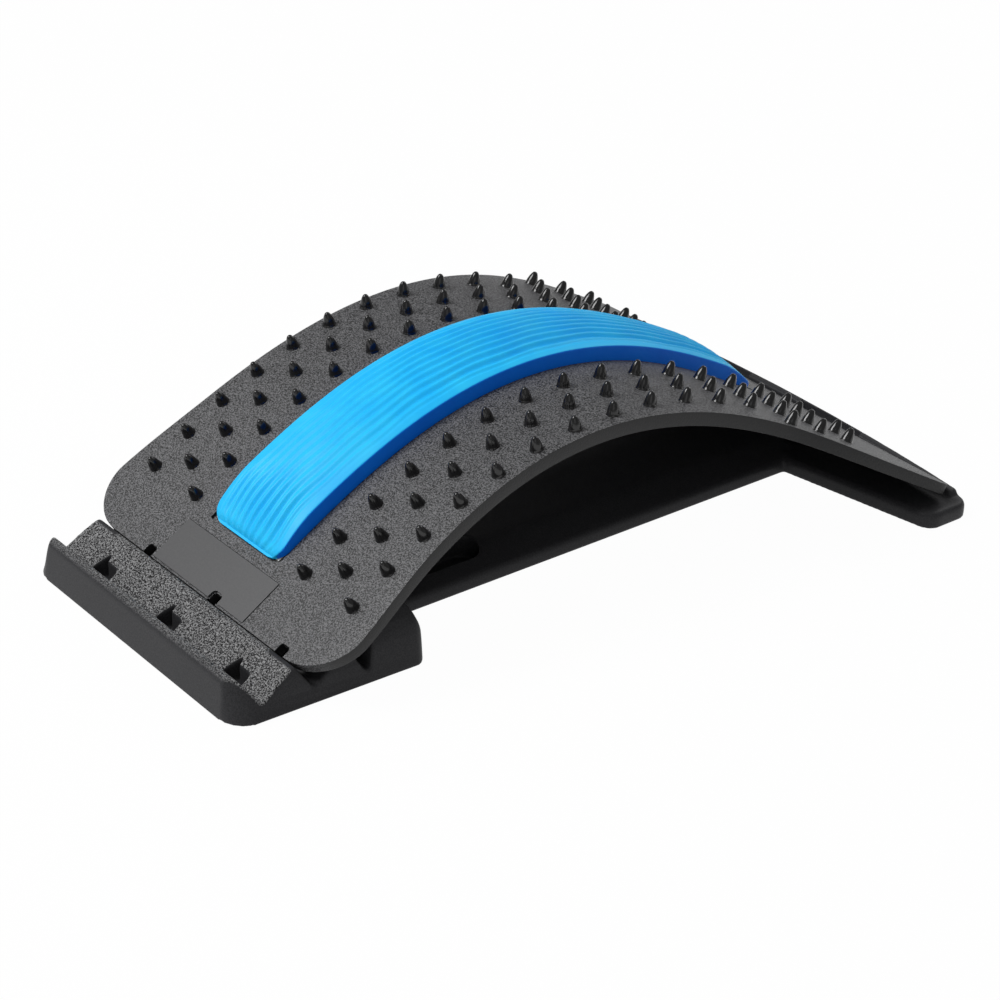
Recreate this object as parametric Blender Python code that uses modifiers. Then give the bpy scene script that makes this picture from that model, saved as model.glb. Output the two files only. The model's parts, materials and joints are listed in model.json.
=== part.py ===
"""Back stretcher: a studded arch plate with a ribbed pad on a three position base.

X is the width, Y the length (rack end at -Y, rail end at +Y) and Z is up. The origin is
the centre of the footprint, on the surface that the foot pads stand on.
"""

import math
from functools import lru_cache

import bmesh
import bpy
from mathutils import Matrix, Vector

MM = 0.001

# Gap that is kept between two touching pieces
SEAT_GAP = 0.3 * MM

# How far a cutting tool runs past the face that it opens
OVERRUN = 4.0 * MM

# Base moulding, an open shell
BASE_LENGTH = 378.0 * MM
BASE_LIFT = 0.6 * MM
WALL = 2.6 * MM
NEAR_FOOT_WIDTH = 164.0 * MM
NEAR_FOOT_FLARE = 2.7 * MM
NEAR_FOOT_CORNER = 12.5 * MM
BLOCK_CORNER = 5.0 * MM
BLOCK_TOP = 31.0 * MM
BLOCK_LENGTH = 28.2 * MM
BLOCK_GAP = 2.2 * MM
BLOCK_SETBACK = 6.0 * MM
BLOCK_BELLY = 0.4 * MM
BLOCK_SLANT = 0.2
BLOCK_ROUNDING = 8.0 * MM
RACK_LEAN = 7.5 * MM
RACK_LEAN_RISE = 12.0 * MM
RACK_ROLL = 2.5 * MM
BLOCK_DRAFT = 2.7 * MM
BLOCK_ROLL = 11.5 * MM
SIDE_ROLL_POWER = 5
SIDE_LEVELS = 9
DECK_WIDTH = 95.0 * MM
DECK_RIM = 7.0 * MM
DECK_DRAFT = 0.6 * MM
DECK_RIM_ROUNDING = 3.0 * MM
DECK_TOP = 14.4 * MM
DECK_SHOULDER = 16.0 * MM
DECK_SHOULDER_TOP = 12.9 * MM
DECK_SHOULDER_ROUNDING = 20.0 * MM
DECK_CROWN_ROUNDING = 90.0 * MM
DECK_OVERLAP = 6.0 * MM
DECK_FAR_OVERLAP = 18.0 * MM
DECK_END_LEAN = 0.8
FAR_FOOT_WIDTH = 260.0 * MM
FAR_FOOT_ROOT = 42.0 * MM
FAR_FOOT_TIP = 27.0 * MM
FAR_FOOT_CORNER = 8.0 * MM
LEDGE_TOP = 8.7 * MM
LEDGE_ROUNDING = 2.6 * MM

# Rack of three grooves in the near foot
GROOVE_COUNT = 3
PLATE_GROOVE = 1
GROOVE_PITCH = 25.0 * MM
GROOVE_FIRST = 14.6 * MM
GROOVE_FLOOR = 7.0 * MM
CREST_TOP = 18.6 * MM
LIP_TOP = 19.2 * MM
LIP_SETBACK = 2.2 * MM
LIP_ROUNDING = 4.6 * MM
RAMP_CROWN = 0.5 * MM
CREST_ROUNDING = 2.2 * MM
GROOVE_ROUNDING = 1.8 * MM

# Slots in each groove, with a slanting leg on one side, and the pockets under them
SLOT_SPACING = 52.5 * MM
SLOT_OFFSET = 3.0 * MM
SLOT_WIDTH = 13.4 * MM
SLOT_NEAR = 1.4 * MM
SLOT_FAR = 6.2 * MM
SLOT_LEG_START = 2.8 * MM
SLOT_LEG_END = 9.2 * MM
SLOT_LEG_WIDTH = 4.4 * MM
SLOT_LEG_TIP = 1.1 * MM
POCKET_WALL = 1.4 * MM
POCKET_FLOOR = 1.8 * MM

# Rail across the far foot, with two slots for the tongues of the plate
RAIL_WIDTH = 247.0 * MM
RAIL_THICKNESS = 5.0 * MM
RAIL_TOP = 17.0 * MM
RAIL_FALL = 0.2 * MM
RAIL_CROWN = 5.3 * MM
RAIL_SPANS = 12
RAIL_SETBACK = 1.6 * MM
RAIL_OUTER_ROUNDING = 1.2 * MM
RAIL_INNER_ROUNDING = 0.8 * MM
RAIL_END_LEAN = 0.9
TONGUE_SPACING = 39.0 * MM
TONGUE_WIDTH = 40.0 * MM
TONGUE_THICKNESS = 2.4 * MM
TONGUE_REACH = 4.4 * MM
TONGUE_CLEARANCE = 0.9 * MM

# Finger recesses in the deck
GRIP_WIDTH = 16.0 * MM
GRIP_LENGTH = 55.0 * MM
GRIP_SPACING = 30.0 * MM
GRIP_INSET = 12.0 * MM
GRIP_WALL = 2.0 * MM
GRIP_FLOOR = 2.2 * MM

# Stiffening ribs and foot pad bosses under the base
RIB_THICKNESS = 2.0 * MM
RIB_CLEARANCE = 1.4 * MM
NEAR_RIB_SPACING = 26.2 * MM
FAR_RIB_SPACING = 74.0 * MM
DECK_BULKHEADS = 3
BULKHEAD_GAP = 8.0 * MM
BOSS_DIAMETER = 17.0 * MM
BOSS_CLEARANCE = 0.4 * MM
FOOT_PAD_DIAMETER = 14.0 * MM
FOOT_PAD_THICKNESS = 2.0 * MM
NEAR_PAD_INSET = 21.0 * MM
NEAR_PAD_END_INSET = 11.5 * MM
FAR_PAD_INSET = 17.0 * MM
FAR_PAD_END_INSET = 22.0 * MM

# Arch plate: its slope swings from the near value to the far one along a half cosine
PLATE_THICKNESS = 5.0 * MM
PLATE_SKIN = 2.6 * MM
PLATE_RIM = 3.0 * MM
PLATE_RIM_SWELL = 1.6 * MM
PLATE_EDGE_ROUNDING = 1.1 * MM
NEAR_SLOPE = 32.8
SWING_START = 24.3 * MM
SWING_REST = 45.0 * MM
NEAR_END_TOP = 16.8 * MM
HOOK_GAP = 0.4 * MM
RAIL_GAP = 0.8 * MM
TIP_GAP = 2.1 * MM
NEAR_CORNER = 26.0 * MM
FAR_CORNER = 6.0 * MM

# Half width of the plate at distances from its near end and from its far end
NEAR_OUTLINE = ((0.0, 93.5 * MM), (24.0 * MM, 93.5 * MM), (76.0 * MM, 86.3 * MM), (140.0 * MM, 83.4 * MM))
FAR_OUTLINE = ((163.0 * MM, 87.3 * MM), (99.0 * MM, 98.5 * MM), (57.0 * MM, 112.0 * MM),
               (19.0 * MM, 121.0 * MM), (0.0, 123.3 * MM))

# Cells in the underside of the plate
CELL_ROWS = 8
CELL_COLUMN = 30.0 * MM
CELL_START = 17.0 * MM
CELL_REST = 10.0 * MM
CELL_STEP = 0.9 * MM

# Hooks under the near end of the plate, which drop into the slots of the rack
HOOK_WIDTH = 9.0 * MM
HOOK_THICKNESS = 2.4 * MM
HOOK_SETBACK = 0.3 * MM
HOOK_DROP = 14.0 * MM

# Notches in the near end of the plate
NOTCH_SPACING = 51.4 * MM
NOTCH_OFFSET = 12.2 * MM
NOTCH_WIDTH = 6.0 * MM
NOTCH_DEPTH = 4.9 * MM
NOTCH_CORNER = 1.6 * MM
NOTCH_MARGIN = 0.6 * MM

# Studs moulded on the plate
STUD_PITCH = 21.17 * MM
STUD_START = 33.9 * MM
STUD_REST = 30.0 * MM
STUD_INNER = 42.4 * MM
STUD_STEP = 17.0 * MM
STUD_COLUMNS = 3
STUD_DIAMETER = 6.6 * MM
STUD_HEIGHT = 7.0 * MM
STUD_WAIST_DIAMETER = 4.9 * MM
STUD_WAIST_HEIGHT = 4.9 * MM
STUD_TIP_DIAMETER = 2.6 * MM
STUD_ROOT = 1.0 * MM
STUD_SIDES = 8
EXTRA_STUDS = 3

# Ribbed pad, its adhesive film and the recess that holds them
PAD_WIDTH = 51.0 * MM
PAD_START = 30.2 * MM
PAD_REST = 43.0 * MM
PAD_CROWN = 10.4 * MM
PAD_SIDE_HEIGHT = 5.6 * MM
PAD_SHOULDER = 4.6 * MM
PAD_END_HEIGHT = 2.4 * MM
PAD_END_RUN = 34.0 * MM
PAD_CORNER = 6.0 * MM
PAD_RIBS = 9
PAD_RIB_DEPTH = 0.9 * MM
PAD_SIDE_GAP = 0.5 * MM
PAD_RECESS_DEPTH = 1.5 * MM
FILM_THICKNESS = 0.4 * MM
FILM_MARGIN = 1.5 * MM

# Blank label plate
LABEL_WIDTH = 70.0 * MM
LABEL_LENGTH = 22.5 * MM
LABEL_START = 1.1 * MM
LABEL_THICKNESS = 0.8 * MM
LABEL_RECESS_DEPTH = 0.8 * MM

# Places that follow from the sizes above
NEAR_EDGE = -BASE_LENGTH / 2
FAR_EDGE = BASE_LENGTH / 2
FIRST_GROOVE = NEAR_EDGE + GROOVE_FIRST
PLATE_GROOVE_Y = FIRST_GROOVE + PLATE_GROOVE * GROOVE_PITCH
BLOCK_START = FIRST_GROOVE + (GROOVE_COUNT - 1) * GROOVE_PITCH + BLOCK_GAP
NEAR_FOOT_END = BLOCK_START + BLOCK_LENGTH
DECK_END = FAR_EDGE - FAR_FOOT_ROOT
WALL_LEAN = math.tan(math.radians(NEAR_SLOPE))
RAIL_OUTER = FAR_EDGE - RAIL_SETBACK
RAIL_INNER = RAIL_OUTER - RAIL_THICKNESS
END_RADIUS = PLATE_THICKNESS / math.sqrt(2)
HINGE_Y = RAIL_INNER - RAIL_GAP - END_RADIUS
HINGE_Z = LEDGE_TOP + TIP_GAP + END_RADIUS
SLOT_PLACES = (SLOT_OFFSET - SLOT_SPACING, SLOT_OFFSET, SLOT_OFFSET + SLOT_SPACING)
NOTCH_PLACES = (NOTCH_OFFSET - NOTCH_SPACING, NOTCH_OFFSET, NOTCH_OFFSET + NOTCH_SPACING)
PAD_BOTTOM = FILM_THICKNESS + 2 * SEAT_GAP - PAD_RECESS_DEPTH
LABEL_BOTTOM = SEAT_GAP - LABEL_RECESS_DEPTH


def clear_scene():
    for item in list(bpy.data.objects):
        bpy.data.objects.remove(item, do_unlink=True)


def make_collection(name):
    collection = bpy.data.collections.new(name)
    bpy.context.scene.collection.children.link(collection)
    return collection


def make_material(name, colour, roughness, metallic=0.0):
    material = bpy.data.materials.new(name)
    material.use_nodes = True
    shader = material.node_tree.nodes["Principled BSDF"]
    shader.inputs["Base Color"].default_value = (*colour, 1.0)
    shader.inputs["Roughness"].default_value = roughness
    shader.inputs["Metallic"].default_value = metallic
    material.diffuse_color = (*colour, 1.0)
    return material


clear_scene()
PARTS = make_collection("back_stretcher")
CUTTERS = make_collection("cutters")


def add_part(name, mesh, material):
    part = bpy.data.objects.new(name, mesh)
    mesh.name = name
    mesh.materials.clear()
    mesh.materials.append(material)
    PARTS.objects.link(part)
    return part


def add_cutter(name, mesh):
    cutter = bpy.data.objects.new(name, mesh)
    mesh.name = name
    cutter.hide_render = True
    cutter.display_type = 'WIRE'
    CUTTERS.objects.link(cutter)
    return cutter


def boolean(target, cutter, operation):
    modifier = target.modifiers.new(cutter.name, 'BOOLEAN')
    modifier.operation = operation
    modifier.solver = 'EXACT'
    modifier.object = cutter


def mesh_from(builder, name):
    mesh = bpy.data.meshes.new(name)
    builder.to_mesh(mesh)
    builder.free()
    return mesh


def join_meshes(meshes, name):
    """One mesh that holds several closed bodies which don't touch."""
    builder = bmesh.new()
    for mesh in meshes:
        builder.from_mesh(mesh)
        bpy.data.meshes.remove(mesh)
    return mesh_from(builder, name)


# Flat outlines

def fillet(corners, steps=5):
    """Outline whose corners (x, y, radius) are rounded with an arc of a few steps."""
    outline = []
    count = len(corners)
    for index, (x, y, radius) in enumerate(corners):
        here = Vector((x, y))
        before = Vector(corners[index - 1][:2]) - here
        after = Vector(corners[(index + 1) % count][:2]) - here
        if radius <= 0.0:
            outline.append(here)
            continue
        half = before.angle(after) / 2
        reach = min(radius / math.tan(half), 0.48 * before.length, 0.48 * after.length)
        radius = reach * math.tan(half)
        start = here + before.normalized() * reach
        finish = here + after.normalized() * reach
        centre = here + (before.normalized() + after.normalized()).normalized() * (
            radius / math.sin(half))
        first = start - centre
        last = finish - centre
        sweep = first.angle_signed(last)
        for step in range(steps + 1):
            turn = Matrix.Rotation(-sweep * step / steps, 2)
            outline.append(centre + turn @ first)
    return outline


def signed_area(corners):
    total = 0.0
    for index, corner in enumerate(corners):
        before = corners[index - 1]
        total += before[0] * corner[1] - corner[0] * before[1]
    return total / 2


def inset(corners, distance):
    """Corners (x, y, radius) moved inwards by a wall thickness, their rounding kept concentric."""
    side = 1.0 if signed_area(corners) > 0 else -1.0
    moved = []
    count = len(corners)
    for index, (x, y, radius) in enumerate(corners):
        here = Vector((x, y))
        along = (here - Vector(corners[index - 1][:2])).normalized()
        onward = (Vector(corners[(index + 1) % count][:2]) - here).normalized()
        first = Vector((-along.y, along.x)) * side
        second = Vector((-onward.y, onward.x)) * side
        mitre = (first + second) / (1.0 + first.dot(second))
        bulges = (along.x * onward.y - along.y * onward.x) * side > 0
        rounding = radius - distance if bulges else radius + distance
        place = here + mitre * distance
        moved.append((place.x, place.y, max(rounding, 0.0) if radius > 0 else 0.0))
    return moved


def extruded(outline, low, high, matrix):
    """Solid from a flat outline, extruded from low to high along its own normal."""
    curve = bpy.data.curves.new("outline", 'CURVE')
    curve.dimensions = '2D'
    curve.fill_mode = 'BOTH'
    curve.extrude = (high - low) / 2
    spline = curve.splines.new('POLY')
    spline.points.add(len(outline) - 1)
    for point, place in zip(spline.points, outline):
        point.co = (place[0], place[1], 0.0, 1.0)
    spline.use_cyclic_u = True
    holder = bpy.data.objects.new("outline", curve)
    bpy.context.scene.collection.objects.link(holder)
    graph = bpy.context.evaluated_depsgraph_get()
    mesh = bpy.data.meshes.new_from_object(holder.evaluated_get(graph))
    bpy.data.objects.remove(holder)
    bpy.data.curves.remove(curve)
    builder = bmesh.new()
    builder.from_mesh(mesh)
    bmesh.ops.remove_doubles(builder, verts=builder.verts, dist=0.00001)
    bmesh.ops.translate(builder, verts=builder.verts, vec=(0.0, 0.0, (low + high) / 2))
    bmesh.ops.transform(builder, verts=builder.verts, matrix=matrix)
    bmesh.ops.dissolve_limit(builder, angle_limit=0.001, verts=builder.verts, edges=builder.edges)
    bmesh.ops.recalc_face_normals(builder, faces=builder.faces)
    builder.to_mesh(mesh)
    builder.free()
    return mesh


PLAN = Matrix.Identity(4)
SIDE_VIEW = Matrix(((0, 0, 1, 0), (1, 0, 0, 0), (0, 1, 0, 0), (0, 0, 0, 1)))
END_VIEW = Matrix(((1, 0, 0, 0), (0, 0, 1, 0), (0, 1, 0, 0), (0, 0, 0, 1)))


def box(x_low, x_high, y_low, y_high, z_low, z_high):
    builder = bmesh.new()
    centre = Vector((x_low + x_high, y_low + y_high, z_low + z_high)) / 2
    sizes = Matrix.Diagonal((x_high - x_low, y_high - y_low, z_high - z_low, 1.0))
    bmesh.ops.create_cube(builder, size=1.0, matrix=Matrix.Translation(centre) @ sizes)
    return mesh_from(builder, "box")


def disc(x, y, z_low, z_high, diameter, sides=24):
    builder = bmesh.new()
    bmesh.ops.create_cone(builder, cap_ends=True, segments=sides, radius1=diameter / 2,
                          radius2=diameter / 2, depth=z_high - z_low,
                          matrix=Matrix.Translation((x, y, (z_low + z_high) / 2)))
    return mesh_from(builder, "disc")


# Base moulding

def rack_corners(floor):
    """Side outline of the near foot, as (y, z, rounding), from the outer edge inwards."""
    corners = [(NEAR_EDGE, floor, 0.0), (NEAR_EDGE + LIP_SETBACK, LIP_TOP, LIP_ROUNDING)]
    crest = LIP_TOP
    for index in range(GROOVE_COUNT):
        groove = FIRST_GROOVE + index * GROOVE_PITCH
        corners.append((groove - (crest - GROOVE_FLOOR) * WALL_LEAN, crest, CREST_ROUNDING))
        corners.append((groove, GROOVE_FLOOR, GROOVE_ROUNDING))
        crest = CREST_TOP
        if index < GROOVE_COUNT - 1:
            ramp_end = groove + GROOVE_PITCH - (CREST_TOP - GROOVE_FLOOR) * WALL_LEAN
            corners.append(((groove + ramp_end) / 2, (CREST_TOP + GROOVE_FLOOR) / 2 + RAMP_CROWN,
                            GROOVE_PITCH))
    slant = BLOCK_SLANT * (BLOCK_TOP - GROOVE_FLOOR)
    corners.append((BLOCK_START, GROOVE_FLOOR, GROOVE_ROUNDING))
    corners.append((BLOCK_START + slant, BLOCK_TOP, BLOCK_ROUNDING))
    corners.append((NEAR_FOOT_END - BLOCK_SETBACK, BLOCK_TOP, BLOCK_ROUNDING))
    corners.append((NEAR_FOOT_END - BLOCK_BELLY, BLOCK_TOP / 2, BLOCK_ROUNDING))
    corners.append((NEAR_FOOT_END, floor, 0.0))
    return corners


def rack_solid(corners, half_width):
    return extruded(fillet(corners, 3), -half_width, half_width, SIDE_VIEW)


def side_lean(y, z):
    """How far a side wall of the near foot has drawn in from its ground line, along and up."""
    rise = max(z - BASE_LIFT, 0.0)
    share = min(rise / (LIP_TOP - BASE_LIFT), 1.0)
    rack = RACK_LEAN * (1.0 - math.exp(-rise / RACK_LEAN_RISE)) + RACK_ROLL * share ** SIDE_ROLL_POWER
    share = min(rise / (BLOCK_TOP - BASE_LIFT), 1.0)
    block = BLOCK_DRAFT * share + BLOCK_ROLL * share ** SIDE_ROLL_POWER
    along = min(max((y - NEAR_EDGE) / (NEAR_FOOT_END - NEAR_EDGE), 0.0), 1.0)
    return rack + (block - rack) * along


def near_foot_plan(margin):
    """Upright solid of the near foot's rounded plan, whose side walls lean in as they rise."""
    half = NEAR_FOOT_WIDTH / 2
    plan = [(-half, NEAR_EDGE, NEAR_FOOT_CORNER), (half, NEAR_EDGE, NEAR_FOOT_CORNER),
            (half + NEAR_FOOT_FLARE, NEAR_FOOT_END, BLOCK_CORNER),
            (-half - NEAR_FOOT_FLARE, NEAR_FOOT_END, BLOCK_CORNER)]
    if margin > 0:
        plan = inset(plan, margin)
    mesh = extruded(fillet(plan, 6), BASE_LIFT - OVERRUN, BLOCK_TOP + OVERRUN, PLAN)
    builder = bmesh.new()
    builder.from_mesh(mesh)
    for level in range(SIDE_LEVELS):
        height = BASE_LIFT + (BLOCK_TOP - BASE_LIFT) * level / (SIDE_LEVELS - 1)
        bmesh.ops.bisect_plane(builder, geom=[*builder.verts, *builder.edges, *builder.faces],
                               plane_co=(0.0, 0.0, height), plane_no=(0.0, 0.0, 1.0))
    for vertex in builder.verts:
        vertex.co.x -= math.copysign(side_lean(vertex.co.y, vertex.co.z), vertex.co.x)
    builder.to_mesh(mesh)
    builder.free()
    return mesh


def deck_corners(floor):
    """End outline of the deck, as (x, z, rounding)."""
    half = DECK_WIDTH / 2
    shoulder = half - DECK_SHOULDER
    return [(-half, floor, 0.0), (half, floor, 0.0),
            (half - DECK_DRAFT, DECK_RIM, DECK_RIM_ROUNDING),
            (shoulder, DECK_SHOULDER_TOP, DECK_SHOULDER_ROUNDING),
            (0.0, DECK_TOP, DECK_CROWN_ROUNDING),
            (-shoulder, DECK_SHOULDER_TOP, DECK_SHOULDER_ROUNDING),
            (DECK_DRAFT - half, DECK_RIM, DECK_RIM_ROUNDING)]


def deck_solid(margin, floor, near, far, slope):
    """Length of deck, with its far end leaning back by slope."""
    corners = deck_corners(floor)
    if margin > 0:
        corners = inset(corners, margin)
    mesh = extruded(fillet(corners, 4), near, far, END_VIEW)
    for vertex in mesh.vertices:
        if vertex.co.y > (near + far) / 2:
            vertex.co.y -= slope * (vertex.co.z - floor)
    return mesh


def far_foot_plan(margin):
    """Plan outline of the far foot, deeper at the deck than at its tips."""
    half = FAR_FOOT_WIDTH / 2
    root = DECK_WIDTH / 2
    tip = FAR_EDGE - FAR_FOOT_TIP
    corners = [(-half, FAR_EDGE, FAR_FOOT_CORNER), (-half, tip, FAR_FOOT_CORNER),
               (-root, DECK_END, 0.0), (root, DECK_END, 0.0),
               (half, tip, FAR_FOOT_CORNER), (half, FAR_EDGE, FAR_FOOT_CORNER)]
    if margin > 0:
        corners = inset(corners, margin)
    return fillet(corners, 6)


def far_foot_solid(margin, floor, top, rounding):
    """Far foot with a rounded upper edge."""
    mesh = extruded(far_foot_plan(margin), floor, top, PLAN)
    builder = bmesh.new()
    builder.from_mesh(mesh)
    rim = [edge for edge in builder.edges
           if all(abs(vertex.co.z - top) < 0.00001 for vertex in edge.verts)
           and edge.calc_face_angle() > 1.0]
    bmesh.ops.bevel(builder, geom=rim, offset=rounding, segments=3, profile=0.5,
                    affect='EDGES', clamp_overlap=True)
    builder.to_mesh(mesh)
    builder.free()
    return mesh


def rail_solid():
    """Bar across the far foot, highest in the middle, with leaning ends."""
    foot = LEDGE_TOP - WALL / 2
    corners = [(RAIL_INNER, foot, 0.0), (RAIL_OUTER, foot, 0.0),
               (RAIL_OUTER, RAIL_TOP - RAIL_FALL, RAIL_OUTER_ROUNDING),
               (RAIL_INNER, RAIL_TOP, RAIL_INNER_ROUNDING)]
    half = RAIL_WIDTH / 2
    bar = extruded(fillet(corners, 2), -half, half, SIDE_VIEW)
    builder = bmesh.new()
    builder.from_mesh(bar)
    ends = list(builder.verts)
    for span in range(1, RAIL_SPANS):
        place = RAIL_WIDTH * span / RAIL_SPANS - half
        bmesh.ops.bisect_plane(builder, geom=[*builder.verts, *builder.edges, *builder.faces],
                               plane_co=(place, 0.0, 0.0), plane_no=(1.0, 0.0, 0.0))
    for vertex in builder.verts:
        rise = (vertex.co.z - foot) / (RAIL_TOP - foot)
        vertex.co.z -= RAIL_CROWN * rise * (vertex.co.x / half) ** 2
    for vertex in ends:
        drop = max(vertex.co.z - LEDGE_TOP, 0.0)
        vertex.co.x -= math.copysign(RAIL_END_LEAN * drop, vertex.co.x)
    builder.to_mesh(bar)
    builder.free()
    return bar


def slot_plans():
    """Plan outline of each slot: a bar along its groove with a slanting leg on one side."""
    plans = []
    for index in range(GROOVE_COUNT):
        groove = FIRST_GROOVE + index * GROOVE_PITCH
        near = groove - SLOT_NEAR
        far = groove + SLOT_FAR
        tip = groove + SLOT_LEG_END
        for place in SLOT_PLACES:
            left = place - SLOT_WIDTH / 2
            right = place + SLOT_WIDTH / 2
            leg = left + SLOT_LEG_WIDTH
            plans.append([(left, near), (right, near), (right, far), (leg, far), (leg, tip),
                          (leg - SLOT_LEG_TIP, tip), (left, groove + SLOT_LEG_START)])
    return plans


def slot_pockets():
    """Blocks under the rack's floor that the slots end in."""
    blocks = []
    for plan in slot_plans():
        across = [place[0] for place in plan]
        along = [place[1] for place in plan]
        blocks.append(box(min(across) - POCKET_WALL, max(across) + POCKET_WALL,
                          min(along) - POCKET_WALL, max(along) + POCKET_WALL, BASE_LIFT, BLOCK_TOP))
    return blocks


def grip_plan(side, margin):
    """Plan outline of a finger recess with round ends, larger by a margin."""
    half = GRIP_WIDTH / 2 + margin
    near = NEAR_FOOT_END + GRIP_INSET - margin
    far = NEAR_FOOT_END + GRIP_INSET + GRIP_LENGTH + margin
    x = side * GRIP_SPACING
    return fillet([(x - half, near, half), (x + half, near, half),
                   (x + half, far, half), (x - half, far, half)], 6)


def tongue_slot_cutters():
    """Slots through the rail and the ledge, wide enough for the tongues to swing in."""
    half = TONGUE_WIDTH / 2 + TONGUE_CLEARANCE
    swing = math.hypot(PLATE_THICKNESS / 2 + TONGUE_REACH, TONGUE_THICKNESS / 2) + TONGUE_CLEARANCE
    return [box(side * TONGUE_SPACING - half, side * TONGUE_SPACING + half, HINGE_Y, HINGE_Y + swing,
                LEDGE_TOP - WALL - OVERRUN, RAIL_TOP + OVERRUN) for side in (-1, 1)]


def foot_pad_places():
    """Name and centre of each foot pad."""
    near = NEAR_EDGE + NEAR_PAD_INSET
    far = FAR_EDGE - FAR_PAD_INSET
    near_x = NEAR_FOOT_WIDTH / 2 - NEAR_PAD_END_INSET
    far_x = FAR_FOOT_WIDTH / 2 - FAR_PAD_END_INSET
    return [("foot_pad_near_left", -near_x, near), ("foot_pad_near_right", near_x, near),
            ("foot_pad_far_left", -far_x, far), ("foot_pad_far_right", far_x, far)]


def upright_slab(x, near, far, low, high):
    half = RIB_THICKNESS / 2
    return box(x - half, x + half, near, far, low, high)


def add_near_stiffeners(base):
    """Ribs, bosses and slot pockets under the near foot, cut to the shape of the shell."""
    low = BASE_LIFT + BOSS_CLEARANCE
    rib_low = BASE_LIFT + RIB_CLEARANCE
    places = foot_pad_places()[:2]
    columns = [disc(x, y, low, BLOCK_TOP, BOSS_DIAMETER) for name, x, y in places]
    columns += [upright_slab(side * NEAR_RIB_SPACING, NEAR_EDGE, NEAR_FOOT_END, rib_low, BLOCK_TOP)
                for side in (-1, 1)]
    margin = WALL / 2
    roof = add_cutter("near_roof", rack_solid(inset(rack_corners(-margin), margin), NEAR_FOOT_WIDTH))
    sides = add_cutter("near_sides", near_foot_plan(margin))
    for name, solids in (("near_columns", columns), ("slot_pockets", slot_pockets())):
        stiffeners = add_cutter(name, join_meshes(solids, name))
        boolean(stiffeners, roof, 'INTERSECT')
        boolean(stiffeners, sides, 'INTERSECT')
        boolean(base, stiffeners, 'UNION')


def add_far_stiffeners(base):
    """Ribs and bosses under the far foot, and bulkheads and recess walls under the deck."""
    low = BASE_LIFT + BOSS_CLEARANCE
    rib_low = BASE_LIFT + RIB_CLEARANCE
    margin = WALL / 2
    columns = [disc(x, y, low, BLOCK_TOP, BOSS_DIAMETER) for name, x, y in foot_pad_places()[2:]]
    columns += [upright_slab(side * FAR_RIB_SPACING, DECK_END, FAR_EDGE, rib_low, BLOCK_TOP)
                for side in (-1, 1)]
    stiffeners = add_cutter("far_columns", join_meshes(columns, "far_columns"))
    roof = far_foot_solid(margin, -margin, LEDGE_TOP - margin, LEDGE_ROUNDING)
    boolean(stiffeners, add_cutter("far_roof", roof), 'INTERSECT')
    boolean(base, stiffeners, 'UNION')
    half = RIB_THICKNESS / 2
    first = NEAR_FOOT_END + GRIP_INSET + GRIP_LENGTH + BULKHEAD_GAP
    for number in range(DECK_BULKHEADS):
        y = first + (DECK_END - first) * number / (DECK_BULKHEADS - 1)
        bulkhead = deck_solid(margin, rib_low - margin, y - half, y + half, 0.0)
        boolean(base, add_cutter("deck_bulkhead_%d" % number, bulkhead), 'UNION')
    cups = [extruded(grip_plan(side, GRIP_WALL), BASE_LIFT, DECK_TOP, PLAN) for side in (-1, 1)]
    cups = add_cutter("grip_cups", join_meshes(cups, "grip_cups"))
    roof = deck_solid(margin, BASE_LIFT - 2 * margin, NEAR_FOOT_END, first, 0.0)
    boolean(cups, add_cutter("grip_roof", roof), 'INTERSECT')
    boolean(base, cups, 'UNION')


def build_base(material):
    rack = rack_solid(rack_corners(BASE_LIFT), NEAR_FOOT_WIDTH)
    base = add_part("base_frame", rack, material)
    boolean(base, add_cutter("near_foot_plan", near_foot_plan(0.0)), 'INTERSECT')
    near = NEAR_FOOT_END - DECK_OVERLAP
    far = DECK_END + DECK_FAR_OVERLAP
    deck = deck_solid(0.0, BASE_LIFT, near, far, DECK_END_LEAN)
    boolean(base, add_cutter("deck_form", deck), 'UNION')
    foot = far_foot_solid(0.0, BASE_LIFT, LEDGE_TOP, LEDGE_ROUNDING)
    boolean(base, add_cutter("far_foot_form", foot), 'UNION')
    boolean(base, add_cutter("rail_form", rail_solid()), 'UNION')

    deep = BASE_LIFT - 2 * OVERRUN
    core = add_cutter("near_foot_core", rack_solid(inset(rack_corners(deep), WALL), NEAR_FOOT_WIDTH))
    boolean(core, add_cutter("near_foot_core_plan", near_foot_plan(WALL)), 'INTERSECT')
    boolean(base, core, 'DIFFERENCE')
    core = deck_solid(WALL, deep, NEAR_FOOT_END + WALL, far - WALL, DECK_END_LEAN)
    boolean(base, add_cutter("deck_core", core), 'DIFFERENCE')
    core = far_foot_solid(WALL, deep, LEDGE_TOP - WALL, LEDGE_ROUNDING / 2)
    boolean(base, add_cutter("far_foot_core", core), 'DIFFERENCE')
    add_near_stiffeners(base)
    add_far_stiffeners(base)

    holes = [extruded(plan, POCKET_FLOOR, LIP_TOP, PLAN) for plan in slot_plans()]
    boolean(base, add_cutter("slots", join_meshes(holes, "slots")), 'DIFFERENCE')
    holes = [extruded(grip_plan(side, 0.0), GRIP_FLOOR, DECK_TOP + OVERRUN, PLAN) for side in (-1, 1)]
    holes += tongue_slot_cutters()
    boolean(base, add_cutter("base_holes", join_meshes(holes, "base_holes")), 'DIFFERENCE')
    pocket_top = FOOT_PAD_THICKNESS + SEAT_GAP
    pockets = [disc(x, y, -SEAT_GAP, pocket_top, FOOT_PAD_DIAMETER + 2 * SEAT_GAP)
               for name, x, y in foot_pad_places()]
    boolean(base, add_cutter("foot_pad_pockets", join_meshes(pockets, "pockets")), 'DIFFERENCE')
    return base


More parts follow.
